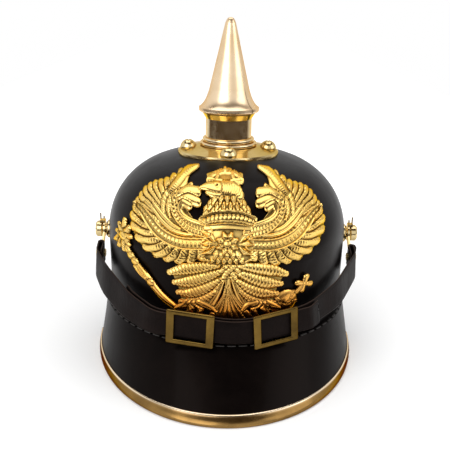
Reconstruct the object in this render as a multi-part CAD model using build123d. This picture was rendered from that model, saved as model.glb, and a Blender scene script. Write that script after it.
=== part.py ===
from build123d import *
from math import atan2, cos, degrees, hypot, pi, radians, sin, sqrt, tan
import os

os.makedirs("parts", exist_ok=True)

# A spiked leather helmet. Millimetres, +Z up, front towards -Y, wearer's left at +X.
# The origin lies on the spike's axis in the plane on which both visor edges rest.

# Shared allowances
overrun = 2.0
seat_gap = 0.2
running_gap = 0.05
sliding_gap = 0.15
bore_gap = 0.2

# Leather shell: straight wall, rounded shoulder and flatter crown, longer than it is wide
plan_length_share = 1.15
shell_half_width = 91.5
wall_taper = 1.5
rim_height = 38.8
wall_top_height = 94.0
shoulder_radius = 55.0
crown_height = 155.5
shell_leather = 3.0
crown_vent_radius = 12.0

# Visors: a flat sewn ledge under the shell, then a slope down to the resting plane
ledge_width = 4.5
ledge_opening_gap = 0.5
visor_leather = 3.0
visor_side_reach = 100.0
visor_front_reach = 147.8
visor_centre_shift = 5.0

# Brass channel on the front visor
trim_thickness = 0.9
trim_outer_height = 6.8
trim_inner_height = 4.5
trim_end_setback = 10.0

# Visor stitching
stitch_length = 6.0
stitch_width = 1.1
stitch_height = 0.6
stitch_outset = 2.6
stitch_count = 34
stitch_half_sweep = 80.0

# Spike base plate and its studs
plate_radius = 38.4
plate_rim_top = 153.0
plate_rim_bottom = 149.0
plate_rim_round = 1.0
plate_sheet = 1.0
plate_hub_height = 157.0
plate_hub_radius = 23.0
plate_bore_radius = 14.0
stud_circle_radius = 30.4
stud_count = 4
stud_head_radius = 6.3
stud_head_rise = 5.4
stud_slot_width = 0.9
stud_slot_depth = 1.1
stud_shank_radius = 2.0
stud_shank_length = 11.0
crown_disc_radius = 42.0
crown_disc_thickness = 1.5
stud_nut_radius = 5.0
stud_nut_height = 3.0

# Neck, collar and spike
neck_radius = 17.5
neck_wall = 1.9
neck_foot_radius = 21.7
neck_foot_height = 3.0
neck_step_radius = 19.7
neck_step_height = 3.2
neck_bead_round = 1.2
neck_bead_round_share = 0.45
neck_top_height = 177.6
collar_height = 5.0
collar_top_radius = 20.0
collar_lip_share = 0.2
flange_radius = 22.8
flange_height = 3.4
flange_round = 1.5
spike_tip_height = 251.2
spike_flare_height = 199.0
spike_flare_radius = 15.2
spike_top_radius = 3.9
spike_top_height = 247.4
spike_wall = 1.2
flare_low_shares = (0.35, 0.9)
flare_high_shares = (0.15, 1.0)
nose_slope_share = 0.5
sleeve_wall = 1.7
sleeve_depth = 13.0
sleeve_rise = 6.0
sleeve_flange_radius = 17.0
sleeve_flange_height = 1.4
thread_pitch = 2.0
thread_depth = 0.4
thread_count = 5
thread_groove_shares = [(0, 0), (0.25, 1), (0.5, 1), (0.75, 0)]

# Heraldic eagle plate, worked in front view and wrapped on the shell
eagle_half_span = 71.0
eagle_foot_height = 58.0
eagle_height = 93.0
eagle_sheet = 1.2
eagle_wing_relief = 0.7
eagle_band_relief = 1.0
eagle_body_relief = 1.6
sceptre_shaft_width = 6.0
sceptre_head_half_width = 7.0
sceptre_head_half_height = 12.0
orb_radius = 8.0
orb_cross_arm = 4.2
orb_cross_width = 3.4
eagle_post_spread = 40.0
eagle_post_height = 112.0
eagle_post_radius = 2.0
eagle_post_length = 5.4
eagle_washer_radius = 7.5
eagle_washer_thickness = 2.0
eagle_nut_radius = 5.0
eagle_nut_thickness = 2.5

# Rear spine with its vent and slide
spine_half_width = 7.0
spine_thickness = 1.2
rail_width = 1.6
rail_height = 1.3
lip_width = 2.6
lip_height = 0.7
rail_low = 50.0
rail_end = 1.6
slide_length = 22.0
slide_travel = 15.0
slide_thickness = 1.0
slide_knob_radius = 3.0
slide_knob_rise = 3.4
slide_knob_setback = 5.0
vent_half_width = 2.4
vent_length = 13.0
spine_screw_low = 45.8
spine_screw_high = 102.0
spine_screw_radius = 1.5
spine_screw_head_radius = 3.0
spine_screw_head_height = 1.4
spine_nut_radius = 3.0
spine_nut_thickness = 1.6

# Side posts that carry the chinstrap
post_y = 6.0
post_height = 86.0
post_flange_radius = 7.2
post_groove_radius = 3.4
post_head_radius = 6.3
post_flange_reach = 95.3
post_groove_reach = 98.3
post_reach = 104.0
post_round = 1.2
post_shank_radius = 2.5
post_shank_end = 83.5
post_nut_radius = 6.0
post_nut_thickness = 3.0

# Ball studs low on both sides
ball_y = 10.0
ball_height = 45.6
ball_radius = 4.7
ball_reach = 98.4
ball_stem_radius = 1.8
ball_stem_end = 85.7
ball_washer_radius = 3.0
ball_washer_thickness = 1.0

# Chinstrap: two leather ribbons in a plane that dips to the front below the posts
strap_dip = 12.0
strap_plane_height = 77.7
strap_half_width = 8.5
strap_leather = 1.8
strap_layer_gap = 1.2
strap_end_reach = 100.0
strap_end_start = 16.0
strap_front_run = 125.0
strap_fold_length = 15.0
strap_tip_share = 0.25
bend_leg_share = 0.3

# Hooks at the ends of the chinstrap
hook_thickness = 1.4
hook_eye_radius = 6.2
hook_eye_gap = 0.08
hook_arm_width = 6.0
hook_tongue_length = 13.5
hook_slot_gap = 0.4
prong_width = 1.0
prong_low_rise = 4.0
prong_high_rise = 6.5
prong_bridge_height = 1.2
prong_inner_reach = 98.2
prong_outer_reach = 100.8
rivet_radius = 1.5
rivet_head_radius = 3.0
rivet_head_height = 0.9
rivet_setback = 6.0

# Sliding buckles
buckle_width = 33.0
buckle_height = 25.0
buckle_side_bar = 5.5
buckle_top_bar = 3.6
buckle_thickness = 1.6
buckle_standoff = 0.5
buckle_corner = 1.2
buckle_bar_width = 2.4
buckle_bar_thickness = 0.6
buckle_ear_gap = 0.5
buckle_left_x = -24.0
buckle_right_x = 33.0

# Head band and liner
band_leather = 1.4
band_height = 38.0
band_foot_gap = 0.4
band_foot_height = 1.8
band_step_height = 4.0
band_step_inset = 6.4
band_seam_height = 9.0
tongue_count = 10
tongue_inset = 9.0
tongue_leather = 1.2
tongue_low = 69.0
tongue_root_half_width = 22.0
tongue_tip_half_width = 7.0
tongue_tip_radius = 36.0
tongue_hole_radius = 2.2
tongue_hole_setback = 8.0


# Shell geometry

def crown_radius():
    """Radius of the crown arc that meets the shoulder arc in one tangent."""
    inset = shell_half_width - shoulder_radius
    drop = wall_top_height - crown_height
    square = shoulder_radius**2 - inset**2 - drop**2
    return square / (2 * (drop + shoulder_radius))


def shell_radius(z):
    """Half width of the shell's outer surface at a height on its wall or shoulder."""
    if z <= wall_top_height:
        fall = (wall_top_height - z) / (wall_top_height - rim_height)
        return shell_half_width - wall_taper * fall
    inset = shell_half_width - shoulder_radius
    return inset + sqrt(shoulder_radius**2 - (z - wall_top_height) ** 2)


def dome(offset, bottom):
    """Solid inside the shell's outer surface moved out by offset, round in plan."""
    inset = shell_half_width - shoulder_radius
    crown_centre = crown_height - crown_radius()
    turn = degrees(atan2(wall_top_height - crown_centre, inset))
    foot = shell_radius(bottom) + offset
    top = crown_height + offset
    wall = Line((foot, bottom), (shell_half_width + offset, wall_top_height))
    shoulder = CenterArc((inset, wall_top_height), shoulder_radius + offset, 0, turn)
    crown = CenterArc((0, crown_centre), crown_radius() + offset, turn, 90 - turn)
    axis_line = Line((0, top), (0, bottom))
    base = Line((0, bottom), (foot, bottom))
    profile = make_face([wall, shoulder, crown, axis_line, base])
    return revolve(Plane.XZ * profile, Axis.Z)


def layer(low_offset, high_offset, bottom):
    """Skin between two offsets of the shell's outer surface."""
    return dome(high_offset, bottom) - dome(low_offset, bottom - overrun)


def stretch(shape):
    """Lengthen a shape front to back, from the round plan to the real oval one."""
    return scale(shape, by=(1, plan_length_share, 1))


def bore_z(x, y, radius, low, high):
    """Upright cylinder that is round once stretched."""
    oval = Ellipse(radius, radius / plan_length_share)
    return extrude(Pos(x, y / plan_length_share, low) * oval, high - low)


def bore_y(x, z, radius, side):
    """Cylinder along Y, towards the front for side -1 and the back for side +1."""
    circle = Plane.XZ * Pos(x, z) * Circle(radius)
    return extrude(circle, -side * (shell_half_width + visor_front_reach))


def bore_x(y, z, radius, side):
    """Cylinder along X that is round once stretched."""
    oval = Plane.YZ * Pos(y / plan_length_share, z) * Ellipse(radius / plan_length_share, radius)
    return extrude(oval, side * post_reach)


def stud_places():
    """Plan positions of the base plate's studs."""
    turns = [2 * pi * i / stud_count for i in range(stud_count)]
    return [(stud_circle_radius * cos(t), stud_circle_radius * sin(t)) for t in turns]


def group(solids):
    """Separate solids kept together in one node."""
    return Compound(children=[s for part in solids for s in part.solids()])


# Shell, visors and trim

def vent_low():
    """Height of the vent slot's lower end, under the closed slide."""
    return rail_low + rail_end + slide_travel + (slide_length - vent_length) / 2


def vent_cutter():
    """Slot through spine and shell behind the slide."""
    depth = shell_half_width * 2
    slot = Pos(0, 0, vent_low()) * Box(
        2 * vent_half_width, depth, vent_length, align=(Align.CENTER, Align.MIN, Align.MIN)
    )
    return slot


def build_shell():
    """Leather skull with its vent hole and the holes for every fastener."""
    skull = dome(0, rim_height) - dome(-shell_leather, rim_height - overrun)
    skull -= bore_z(0, 0, crown_vent_radius, wall_top_height, crown_height + overrun)
    for x, y in stud_places():
        skull -= bore_z(x, y, stud_shank_radius + bore_gap, wall_top_height, crown_height)
    for side in (-1, 1):
        skull -= bore_x(post_y, post_height, post_shank_radius + bore_gap, side)
        skull -= bore_x(ball_y, ball_height, ball_stem_radius + bore_gap, side)
        skull -= bore_y(side * eagle_post_spread, eagle_post_height, eagle_post_radius + bore_gap, -1)
    for z in (spine_screw_low, spine_screw_high):
        skull -= bore_y(0, z, spine_screw_radius + bore_gap, 1)
    skull -= vent_cutter()
    return stretch(skull)


def visor_section(z, inset, side):
    """Half axes and centre of the visor's oval at a height, moved in by inset along the normal."""
    ledge_x = shell_radius(rim_height) + ledge_width
    ledge_y = shell_radius(rim_height) * plan_length_share + ledge_width
    reach_y = visor_front_reach - visor_centre_shift
    down = (rim_height - z) / rim_height
    side_run = visor_side_reach - ledge_x
    front_run = visor_front_reach - ledge_y
    half_x = ledge_x + side_run * down - inset * hypot(rim_height, side_run) / rim_height
    half_y = ledge_y + (reach_y - ledge_y) * down - inset * hypot(rim_height, front_run) / rim_height
    return half_x, half_y, side * visor_centre_shift * down


def skirt(low, high, inset, side):
    """Solid inside the visor's slope between two heights; side -1 is the front one."""
    faces = []
    for z in (low, high):
        half_x, half_y, centre = visor_section(z, inset, side)
        faces.append(Pos(0, centre, z) * Ellipse(half_x, half_y))
    return loft(faces, ruled=True)


def half_space(side, setback):
    """Block that covers everything on one side of the visors' meeting plane."""
    size = 2 * visor_front_reach
    depth = Align.MAX if side < 0 else Align.MIN
    block = Box(size, size, size, align=(Align.CENTER, depth, Align.CENTER))
    return Pos(0, side * setback, 0) * block


def build_visor(side):
    """One leather visor: flat ledge under the shell's rim and a slope down to the edge."""
    inset = trim_thickness if side < 0 else 0
    foot = trim_thickness if side < 0 else 0
    under = rim_height - visor_leather
    hollow = skirt(foot - overrun, under, inset + visor_leather, side)
    opening_x = shell_radius(rim_height) - shell_leather + ledge_opening_gap
    opening_y = opening_x * plan_length_share
    hole = extrude(Pos(0, 0, under - overrun) * Ellipse(opening_x, opening_y), 2 * visor_leather + overrun)
    visor = skirt(foot, rim_height, inset, side) - hollow - hole
    return visor & half_space(side, 0)


def build_trim():
    """Brass channel folded over the front visor's edge."""
    inner = 2 * trim_thickness + visor_leather
    outer_leg = skirt(0, trim_outer_height, 0, -1)
    outer_leg -= skirt(-overrun, trim_outer_height + overrun, trim_thickness, -1)
    floor = skirt(0, trim_thickness, 0, -1) - skirt(-overrun, trim_thickness + overrun, inner, -1)
    inner_leg = skirt(0, trim_inner_height, trim_thickness + visor_leather, -1)
    inner_leg -= skirt(-overrun, trim_inner_height + overrun, inner, -1)
    return (outer_leg + floor + inner_leg) & half_space(-1, trim_end_setback)


def build_stitching(side):
    """Long stitches lying on a visor's ledge, just outside the shell."""
    half_x = shell_radius(rim_height) + stitch_outset
    half_y = shell_radius(rim_height) * plan_length_share + stitch_outset
    stitches = []
    for i in range(stitch_count):
        turn = radians(stitch_half_sweep * (2 * i / (stitch_count - 1) - 1))
        x, y = half_x * sin(turn), side * half_y * cos(turn)
        heading = degrees(atan2(-side * half_y * sin(turn), half_x * cos(turn)))
        outline = SlotOverall(stitch_length, stitch_width)
        stitch = extrude(outline, stitch_height)
        stitches.append(Pos(x, y, rim_height) * Rot(0, 0, heading) * stitch)
    return group(stitches)


# Spike assembly

def plate_outline(thickness):
    """Revolved body under the base plate's top surface, lowered by a thickness."""
    rim = plate_radius - thickness
    rim_top = plate_rim_top - thickness
    hub = plate_hub_height - thickness
    bottom = plate_rim_bottom - overrun * (1 if thickness else 0)
    points = [(0, bottom), (rim, bottom), (rim, rim_top), (rim - plate_rim_round, rim_top + plate_rim_round)]
    points += [(plate_hub_radius, hub), (0, hub)]
    profile = make_face(Polyline(*points, close=True))
    return revolve(Plane.XZ * profile, Axis.Z)


def build_base_plate():
    """Dished brass disc whose rim follows the crown all round."""
    plate = plate_outline(0) - plate_outline(plate_sheet)
    plate -= Pos(0, 0, plate_hub_height) * Cylinder(plate_bore_radius, 2 * plate_hub_radius)
    for x, y in stud_places():
        plate -= Pos(x, y, plate_hub_height) * Cylinder(stud_shank_radius + bore_gap, 2 * plate_hub_radius)
    return plate - stretch(dome(seat_gap / 2, plate_rim_bottom - 2 * overrun))


def stud_seat_height():
    """Height of the base plate's top surface at the stud circle."""
    run = (stud_circle_radius - plate_hub_radius) / (plate_radius - plate_rim_round - plate_hub_radius)
    return plate_hub_height - run * (plate_hub_height - plate_rim_top - plate_rim_round)


def build_base_plate_studs():
    """Four slotted dome heads with shanks through plate, shell and inner disc."""
    ball_radius_of_head = (stud_head_radius**2 + stud_head_rise**2) / (2 * stud_head_rise)
    seat = stud_seat_height()
    centre = seat + stud_head_rise - ball_radius_of_head
    ball = Pos(0, 0, centre) * Sphere(ball_radius_of_head)
    above = Pos(0, 0, seat - overrun / 2) * Cylinder(
        stud_head_radius, 2 * stud_head_rise, align=(Align.CENTER, Align.CENTER, Align.MIN)
    )
    slot = Pos(0, 0, seat + stud_head_rise) * Box(2 * stud_head_radius, stud_slot_width, 2 * stud_slot_depth)
    head = (ball & above) - slot
    shank = Pos(0, 0, seat) * Cylinder(
        stud_shank_radius, stud_shank_length, align=(Align.CENTER, Align.CENTER, Align.MAX)
    )
    studs = []
    for x, y in stud_places():
        turned = Rot(0, 0, degrees(atan2(y, x)) + 90)
        studs.append((Pos(x, y, 0) * turned * head - plate_outline(0)) + Pos(x, y, 0) * shank)
    return group(studs)


def build_crown_disc():
    """Stiffening disc that lies against the inside of the crown."""
    disc = layer(-shell_leather - crown_disc_thickness, -shell_leather, rim_height)
    disc &= bore_z(0, 0, crown_disc_radius, wall_top_height, crown_height)
    disc -= bore_z(0, 0, crown_vent_radius, wall_top_height, crown_height)
    for x, y in stud_places():
        disc -= bore_z(x, y, stud_shank_radius + bore_gap, wall_top_height, crown_height)
    return stretch(disc)


def build_base_plate_nuts():
    """Four round nuts on the studs, under the crown disc."""
    under = -shell_leather - crown_disc_thickness
    skin = layer(under - stud_nut_height, under, rim_height)
    nuts = []
    for x, y in stud_places():
        ring = bore_z(x, y, stud_nut_radius, wall_top_height, crown_height)
        ring -= bore_z(x, y, stud_shank_radius + running_gap, wall_top_height, crown_height)
        nuts.append(stretch(skin & ring))
    return group(nuts)


def ring_of(points):
    """Solid of revolution about the spike's axis from an outline of radius and height."""
    return revolve(Plane.XZ * make_face(Polyline(*points, close=True)), Axis.Z)


def bead(radius, low, height):
    """Rounded moulding: a disc whose rim is a half round."""
    disc = Pos(0, 0, low) * Cylinder(radius, height, align=(Align.CENTER, Align.CENTER, Align.MIN))
    rims = disc.edges().filter_by(GeomType.CIRCLE)
    return fillet(rims, min(neck_bead_round, neck_bead_round_share * height))


def build_neck():
    """Tube that stands on the base plate, with two mouldings at its foot."""
    foot = bead(neck_foot_radius, plate_hub_height, neck_foot_height)
    step = bead(neck_step_radius, plate_hub_height + neck_foot_height, neck_step_height)
    height = neck_top_height - plate_hub_height
    tube = Pos(0, 0, plate_hub_height) * Cylinder(
        neck_radius, height, align=(Align.CENTER, Align.CENTER, Align.MIN)
    )
    bore = Pos(0, 0, plate_hub_height) * Cylinder(neck_radius - neck_wall, 2 * height)
    return foot + step + tube - bore


def build_collar():
    """Flared ring on the neck's top, under the spike's flange."""
    bottom = neck_top_height
    inner = neck_radius - neck_wall
    lip = collar_height * collar_lip_share
    points = [(inner, bottom), (neck_radius, bottom), (collar_top_radius, bottom + collar_height - lip)]
    points += [(collar_top_radius, bottom + collar_height), (inner, bottom + collar_height)]
    return ring_of(points)


def spike_profile(wall):
    """Half section of the spike's outer surface, moved in by a wall, closed on the axis."""
    low = neck_top_height + collar_height + wall
    edge = flange_radius - wall
    shoulder = low + flange_height - wall
    tip = spike_tip_height - wall * spike_tip_height / (spike_tip_height - spike_flare_height)
    top_radius = spike_top_radius - wall
    spread = edge - spike_flare_radius
    bottom = Line((0, low), (edge, low))
    rim = Line((edge, low), (edge, shoulder))
    flare = Bezier(
        (edge, shoulder),
        (spike_flare_radius + spread * flare_low_shares[0], shoulder + flange_height * flare_low_shares[1]),
        (
            spike_flare_radius + spread * flare_high_shares[0],
            spike_flare_height - flange_height * flare_high_shares[1],
        ),
        (spike_flare_radius - wall, spike_flare_height),
    )
    cone = Line((spike_flare_radius - wall, spike_flare_height), (top_radius, spike_top_height))
    nose = Spline((top_radius, spike_top_height), (0, tip), tangents=((-nose_slope_share, 1), (-1, 0)))
    axis_line = Line((0, tip), (0, low))
    return make_face([bottom, rim, flare, cone, nose, axis_line])


def build_spike():
    """Hollow cone with a rolled flange and a hole in its floor for the sleeve."""
    outside = revolve(Plane.XZ * spike_profile(0), Axis.Z)
    seat = neck_top_height + collar_height
    rims = outside.edges().filter_by(GeomType.CIRCLE).group_by(Axis.Z)[0]
    outside = fillet(rims, flange_round)
    inside = revolve(Plane.XZ * spike_profile(spike_wall), Axis.Z)
    hole = Pos(0, 0, seat) * Cylinder(sleeve_radius() + running_gap, 2 * spike_wall + overrun)
    return outside - inside - hole


def sleeve_radius():
    """Outer radius of the threaded sleeve, a running fit in the neck."""
    return neck_radius - neck_wall - running_gap


def build_sleeve():
    """Threaded sleeve that hangs from the spike's floor into the neck."""
    seat = neck_top_height + collar_height
    outer = sleeve_radius()
    low = seat - collar_height - sleeve_depth
    rise = seat + spike_wall + running_gap
    inner = outer - sleeve_wall
    points = [(inner, low), (outer, low)]
    for i in range(thread_count):
        z = low + thread_pitch * (i + 1)
        points += [(outer - thread_depth * d, z + thread_pitch * s) for s, d in thread_groove_shares]
    points += [(outer, rise), (sleeve_flange_radius, rise)]
    points += [(sleeve_flange_radius, rise + sleeve_flange_height), (outer, rise + sleeve_flange_height)]
    points += [(outer, rise + sleeve_rise), (inner, rise + sleeve_rise)]
    return ring_of(points)


# Eagle plate

wing_outer_shares = [
    (0.35, 0.995), (0.51, 0.973), (0.66, 0.93), (0.775, 0.876), (0.86, 0.806), (0.915, 0.726),
    (0.985, 0.677), (1.0, 0.602), (0.97, 0.527), (0.96, 0.468), (0.90, 0.43), (0.82, 0.395),
    (0.69, 0.38), (0.59, 0.376), (0.48, 0.403), (0.38, 0.45),
]
wing_inner_shares = [
    (0.18, 0.5), (0.2, 0.72), (0.27, 0.73), (0.34, 0.735), (0.415, 0.758), (0.42, 0.79),
    (0.35, 0.785), (0.285, 0.817), (0.28, 0.86), (0.34, 0.885), (0.42, 0.898), (0.41, 0.925),
    (0.437, 0.946), (0.366, 0.978),
]
head_shares = [
    (-0.15, 0.98), (-0.06, 1.0), (0.04, 1.0), (0.13, 0.985), (0.11, 0.93), (0.13, 0.86), (0.18, 0.78),
    (0.25, 0.71), (0.21, 0.5), (-0.21, 0.5), (-0.25, 0.71), (-0.17, 0.8), (-0.14, 0.85),
    (-0.2, 0.857), (-0.28, 0.87), (-0.27, 0.9), (-0.16, 0.93),
]
leg_shares = [
    (0.0, 0.5), (0.21, 0.51), (0.35, 0.455), (0.49, 0.4), (0.555, 0.32), (0.55, 0.26), (0.5, 0.225),
    (0.49, 0.17), (0.42, 0.13), (0.37, 0.095), (0.41, 0.045), (0.36, 0.01), (0.2, 0.015), (0.13, 0.1),
    (0.06, 0.22), (0.0, 0.35),
]
tail_shares = [(0.0, 0.4), (0.06, 0.24), (0.13, 0.12), (0.18, 0.01), (0.1, -0.01), (0.0, -0.015)]
band_shares = [(0.2, 0.59), (0.4, 0.6), (0.6, 0.68), (0.8, 0.76), (0.9, 0.72), (1.0, 0.68)]
band_low_shares = [(0.98, 0.63), (0.8, 0.64), (0.62, 0.55), (0.4, 0.5), (0.2, 0.5)]
shoulder_shares = [
    (0.46, 0.95), (0.62, 0.92), (0.76, 0.84), (0.84, 0.74), (0.6, 0.71), (0.46, 0.8), (0.47, 0.88),
]
sceptre_shares = [(-1.05, 0.52), (-0.98, 0.32), (-0.86, 0.19), (-0.7, 0.08), (-0.45, 0.03), (-0.3, 0.05)]
sceptre_head_share = (-1.05, 0.46)
orb_share = (0.63, 0.13)
cross_share = (0.755, 0.25)
perch_share = (0.33, 0.06)


def eagle_point(place):
    """Front view position of a share of the eagle's half span and height."""
    return (place[0] * eagle_half_span, eagle_foot_height + place[1] * eagle_height)


def flipped(places):
    """The same outline for the other side."""
    return [(-x, z) for x, z in places]


def eagle_patch(places):
    """Straight-sided front view patch."""
    return make_face(Polyline(*[eagle_point(p) for p in places], close=True))


def wing_patch(side):
    """Wing outline: a smooth outer edge and the notched inner edge."""
    outer = [eagle_point((side * x, z)) for x, z in wing_outer_shares]
    inner = [eagle_point((side * x, z)) for x, z in wing_inner_shares]
    edge = Spline(*outer)
    back = Polyline(outer[-1], *inner, outer[0])
    return make_face([edge, *back.edges()])


def sceptre_patch():
    """Shaft of the sceptre with its leafy head as an oval."""
    shaft = trace(Polyline(*[eagle_point(p) for p in sceptre_shares]), sceptre_shaft_width)
    head = Pos(*eagle_point(sceptre_head_share)) * Ellipse(sceptre_head_half_width, sceptre_head_half_height)
    return shaft + head


def orb_patch():
    """Orb with a small cross on a neck that leans outwards."""
    orb_x, orb_z = eagle_point(orb_share)
    cross_x, cross_z = eagle_point(cross_share)
    lean = degrees(atan2(cross_z - orb_z, cross_x - orb_x)) - 90
    upright = Rectangle(orb_cross_width, 2 * orb_cross_arm)
    arm = Rectangle(2 * orb_cross_arm, orb_cross_width)
    cross = Pos(cross_x, cross_z) * Rot(0, 0, lean) * (upright + arm)
    neck = trace(Line((orb_x, orb_z), (cross_x, cross_z)), orb_cross_width)
    perch = trace(Line((orb_x, orb_z), eagle_point(perch_share)), sceptre_shaft_width)
    return Pos(orb_x, orb_z) * Circle(orb_radius) + neck + cross + perch


def wrapped(patches, low_offset, high_offset):
    """Patches pushed through a skin of the front of the shell."""
    skin = layer(low_offset, high_offset, rim_height)
    pieces = [extrude(Plane.XZ * patch, visor_front_reach) & skin for patch in patches]
    body = pieces[0]
    for piece in pieces[1:]:
        body += piece
    return body


def build_eagle():
    """Stamped plate: a sheet with the whole outline and raised wings, bands and body."""
    low = seat_gap
    sheet = low + eagle_sheet
    legs = [eagle_patch(leg_shares), eagle_patch(flipped(leg_shares))]
    tails = [eagle_patch(tail_shares), eagle_patch(flipped(tail_shares))]
    head = eagle_patch(head_shares)
    wings = [wing_patch(1), wing_patch(-1)]
    outline = wings[0] + wings[1] + head + legs[0] + legs[1] + tails[0] + tails[1]
    outline = outline + sceptre_patch() + orb_patch()
    plate = wrapped([outline], low, sheet)
    shoulders = [eagle_patch(shoulder_shares), eagle_patch(flipped(shoulder_shares))]
    plate += wrapped(shoulders, low, sheet + eagle_wing_relief)
    bands = band_shares + band_low_shares
    plate += wrapped([eagle_patch(bands), eagle_patch(flipped(bands))], low, sheet + eagle_band_relief)
    body = head + legs[0] + legs[1]
    plate += wrapped([body], low, sheet + eagle_body_relief)
    return stretch(plate)


def eagle_place(side):
    """Front view position of a fixing post."""
    return side * eagle_post_spread, eagle_post_height


def build_eagle_posts():
    """Two posts from the back of the eagle through the shell."""
    skin = layer(-shell_leather - eagle_post_length, seat_gap, rim_height)
    return group([stretch(bore_y(*eagle_place(s), eagle_post_radius, -1) & skin) for s in (-1, 1)])


def eagle_rings(radius, low_offset, high_offset):
    """Rings on the eagle's posts inside the shell."""
    skin = layer(low_offset, high_offset, rim_height)
    rings = []
    for side in (-1, 1):
        x, z = eagle_place(side)
        ring = bore_y(x, z, radius, -1) - bore_y(x, z, eagle_post_radius + running_gap, -1)
        rings.append(stretch(ring & skin))
    return group(rings)


def build_eagle_washers():
    """Leather washers against the inside of the shell."""
    return eagle_rings(eagle_washer_radius, -shell_leather - eagle_washer_thickness, -shell_leather)


def build_eagle_nuts():
    """Round nuts on the leather washers."""
    high = -shell_leather - eagle_washer_thickness
    return eagle_rings(eagle_nut_radius, high - eagle_nut_thickness, high)


# Rear spine and vent slide

def strip(half_inner, half_outer, low, high, low_offset, high_offset):
    """Two upright strips, or one when the inner half width is zero, on the back of the shell."""
    skin = layer(low_offset, high_offset, rim_height)
    depth = 2 * shell_half_width
    height = high - low
    outer = Box(2 * half_outer, depth, height, align=(Align.CENTER, Align.MIN, Align.MIN))
    block = Pos(0, 0, low) * outer
    if half_inner:
        inner = Box(2 * half_inner, 2 * depth, 2 * height, align=(Align.CENTER, Align.MIN, Align.CENTER))
        block -= Pos(0, -overrun, low) * inner
    return block & skin


def rail_top():
    """Height of the top of the rails, one end bar above the closed slide."""
    return rail_low + 2 * rail_end + slide_travel + slide_length


def build_spine():
    """Brass strip down the back with rails, lips and end bars for the slide."""
    base = spine_thickness
    spine = strip(0, spine_half_width, rim_height, crown_height, 0, base)
    spine -= bore_z(0, 0, plate_radius + seat_gap, rim_height, crown_height + overrun)
    rail_inner = spine_half_width - rail_width
    spine += strip(rail_inner, spine_half_width, rail_low, rail_top(), 0, base + rail_height)
    lip_inner = spine_half_width - lip_width
    lip_low = base + rail_height
    lip_top = lip_low + lip_height
    spine += strip(lip_inner, spine_half_width, rail_low, rail_top(), lip_low - sliding_gap, lip_top)
    for low in (rail_low, rail_top() - rail_end):
        spine += strip(0, spine_half_width, low, low + rail_end, 0, lip_low)
    for z in (spine_screw_low, spine_screw_high):
        spine -= bore_y(0, z, spine_screw_radius + bore_gap, 1)
    return stretch(spine - vent_cutter())


def build_vent_slide():
    """Sliding cover between the rails, with its knob."""
    low = rail_low + rail_end + slide_travel + sliding_gap
    high = low + slide_length - 2 * sliding_gap
    under = spine_thickness + sliding_gap
    over = under + slide_thickness - sliding_gap
    half = spine_half_width - rail_width - sliding_gap
    plate = strip(0, half, low, high, under, over)
    skin = layer(under, over + slide_knob_rise, rim_height)
    knob = bore_y(0, low + slide_knob_setback, slide_knob_radius, 1) & skin
    return stretch(plate + knob)


def build_spine_screws():
    """Two dome headed screws through spine and shell."""
    tops = spine_thickness + spine_screw_head_height
    ends = -shell_leather - spine_nut_thickness - sliding_gap
    screws = []
    for z in (spine_screw_low, spine_screw_high):
        head = bore_y(0, z, spine_screw_head_radius, 1) & layer(spine_thickness, tops, rim_height)
        shank = bore_y(0, z, spine_screw_radius, 1) & layer(ends, tops, rim_height)
        screws.append(stretch(head + shank))
    return group(screws)


def build_spine_nuts():
    """Round nuts inside the shell on the spine's screws."""
    skin = layer(-shell_leather - spine_nut_thickness, -shell_leather, rim_height)
    nuts = []
    for z in (spine_screw_low, spine_screw_high):
        ring = bore_y(0, z, spine_nut_radius, 1) - bore_y(0, z, spine_screw_radius + running_gap, 1)
        nuts.append(stretch(ring & skin))
    return group(nuts)


# Side posts and ball studs

def turned_x(points, y, z, side):
    """Solid of revolution about a line along X from an outline of reach and radius."""
    profile = make_face(Polyline(*[(side * a, r) for a, r in points], close=True))
    return Pos(0, y, z) * revolve(Plane.XZ * profile, Axis.X)


def rod_x(y, z, radius, near, far, side):
    """Cylinder along X between two distances from the middle plane."""
    return turned_x([(near, 0), (far, 0), (far, radius), (near, radius)], y, z, side)


def build_side_post(side):
    """Post with a flange on the shell, a groove for the strap's eye and a rounded head."""
    near = shell_radius(post_height) - shell_leather
    cut = post_round
    outline = [(near, 0), (near, post_flange_radius), (post_flange_reach - cut, post_flange_radius)]
    outline += [(post_flange_reach, post_flange_radius - cut), (post_flange_reach, post_groove_radius)]
    outline += [(post_groove_reach, post_groove_radius), (post_groove_reach, post_head_radius - cut)]
    outline += [(post_groove_reach + cut, post_head_radius), (post_reach - cut, post_head_radius)]
    outline += [(post_reach, post_head_radius - cut), (post_reach, 0)]
    post = turned_x(outline, post_y, post_height, side) - stretch(dome(0, rim_height))
    shank = rod_x(post_y, post_height, post_shank_radius, post_shank_end, post_flange_reach, side)
    return post + shank


def inner_ring(y, z, radius, bore, thickness, side):
    """Washer or nut shaped to the inside of the shell on a rod along X."""
    inside = stretch(dome(-shell_leather, rim_height))
    far = shell_radius(z) - shell_leather
    ring = rod_x(y, z, radius, far - thickness, far + overrun, side)
    ring -= rod_x(y, z, bore + running_gap, far - 2 * thickness, far + 2 * overrun, side)
    return ring & inside


def build_side_post_nuts():
    """Nuts on the side posts inside the shell."""
    return group([
        inner_ring(post_y, post_height, post_nut_radius, post_shank_radius, post_nut_thickness, s)
        for s in (-1, 1)
    ])


def build_side_ball_studs():
    """Ball studs low on both sides, with stems through the shell."""
    studs = []
    for side in (-1, 1):
        ball = Pos(side * ball_reach, ball_y, ball_height) * Sphere(ball_radius)
        stem = rod_x(ball_y, ball_height, ball_stem_radius, ball_stem_end, ball_reach, side)
        studs.append(ball + stem)
    return group(studs)


def build_ball_stud_washers():
    """Washers on the ball studs' stems inside the shell."""
    return group([
        inner_ring(ball_y, ball_height, ball_washer_radius, ball_stem_radius, ball_washer_thickness, s)
        for s in (-1, 1)
    ])


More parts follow.
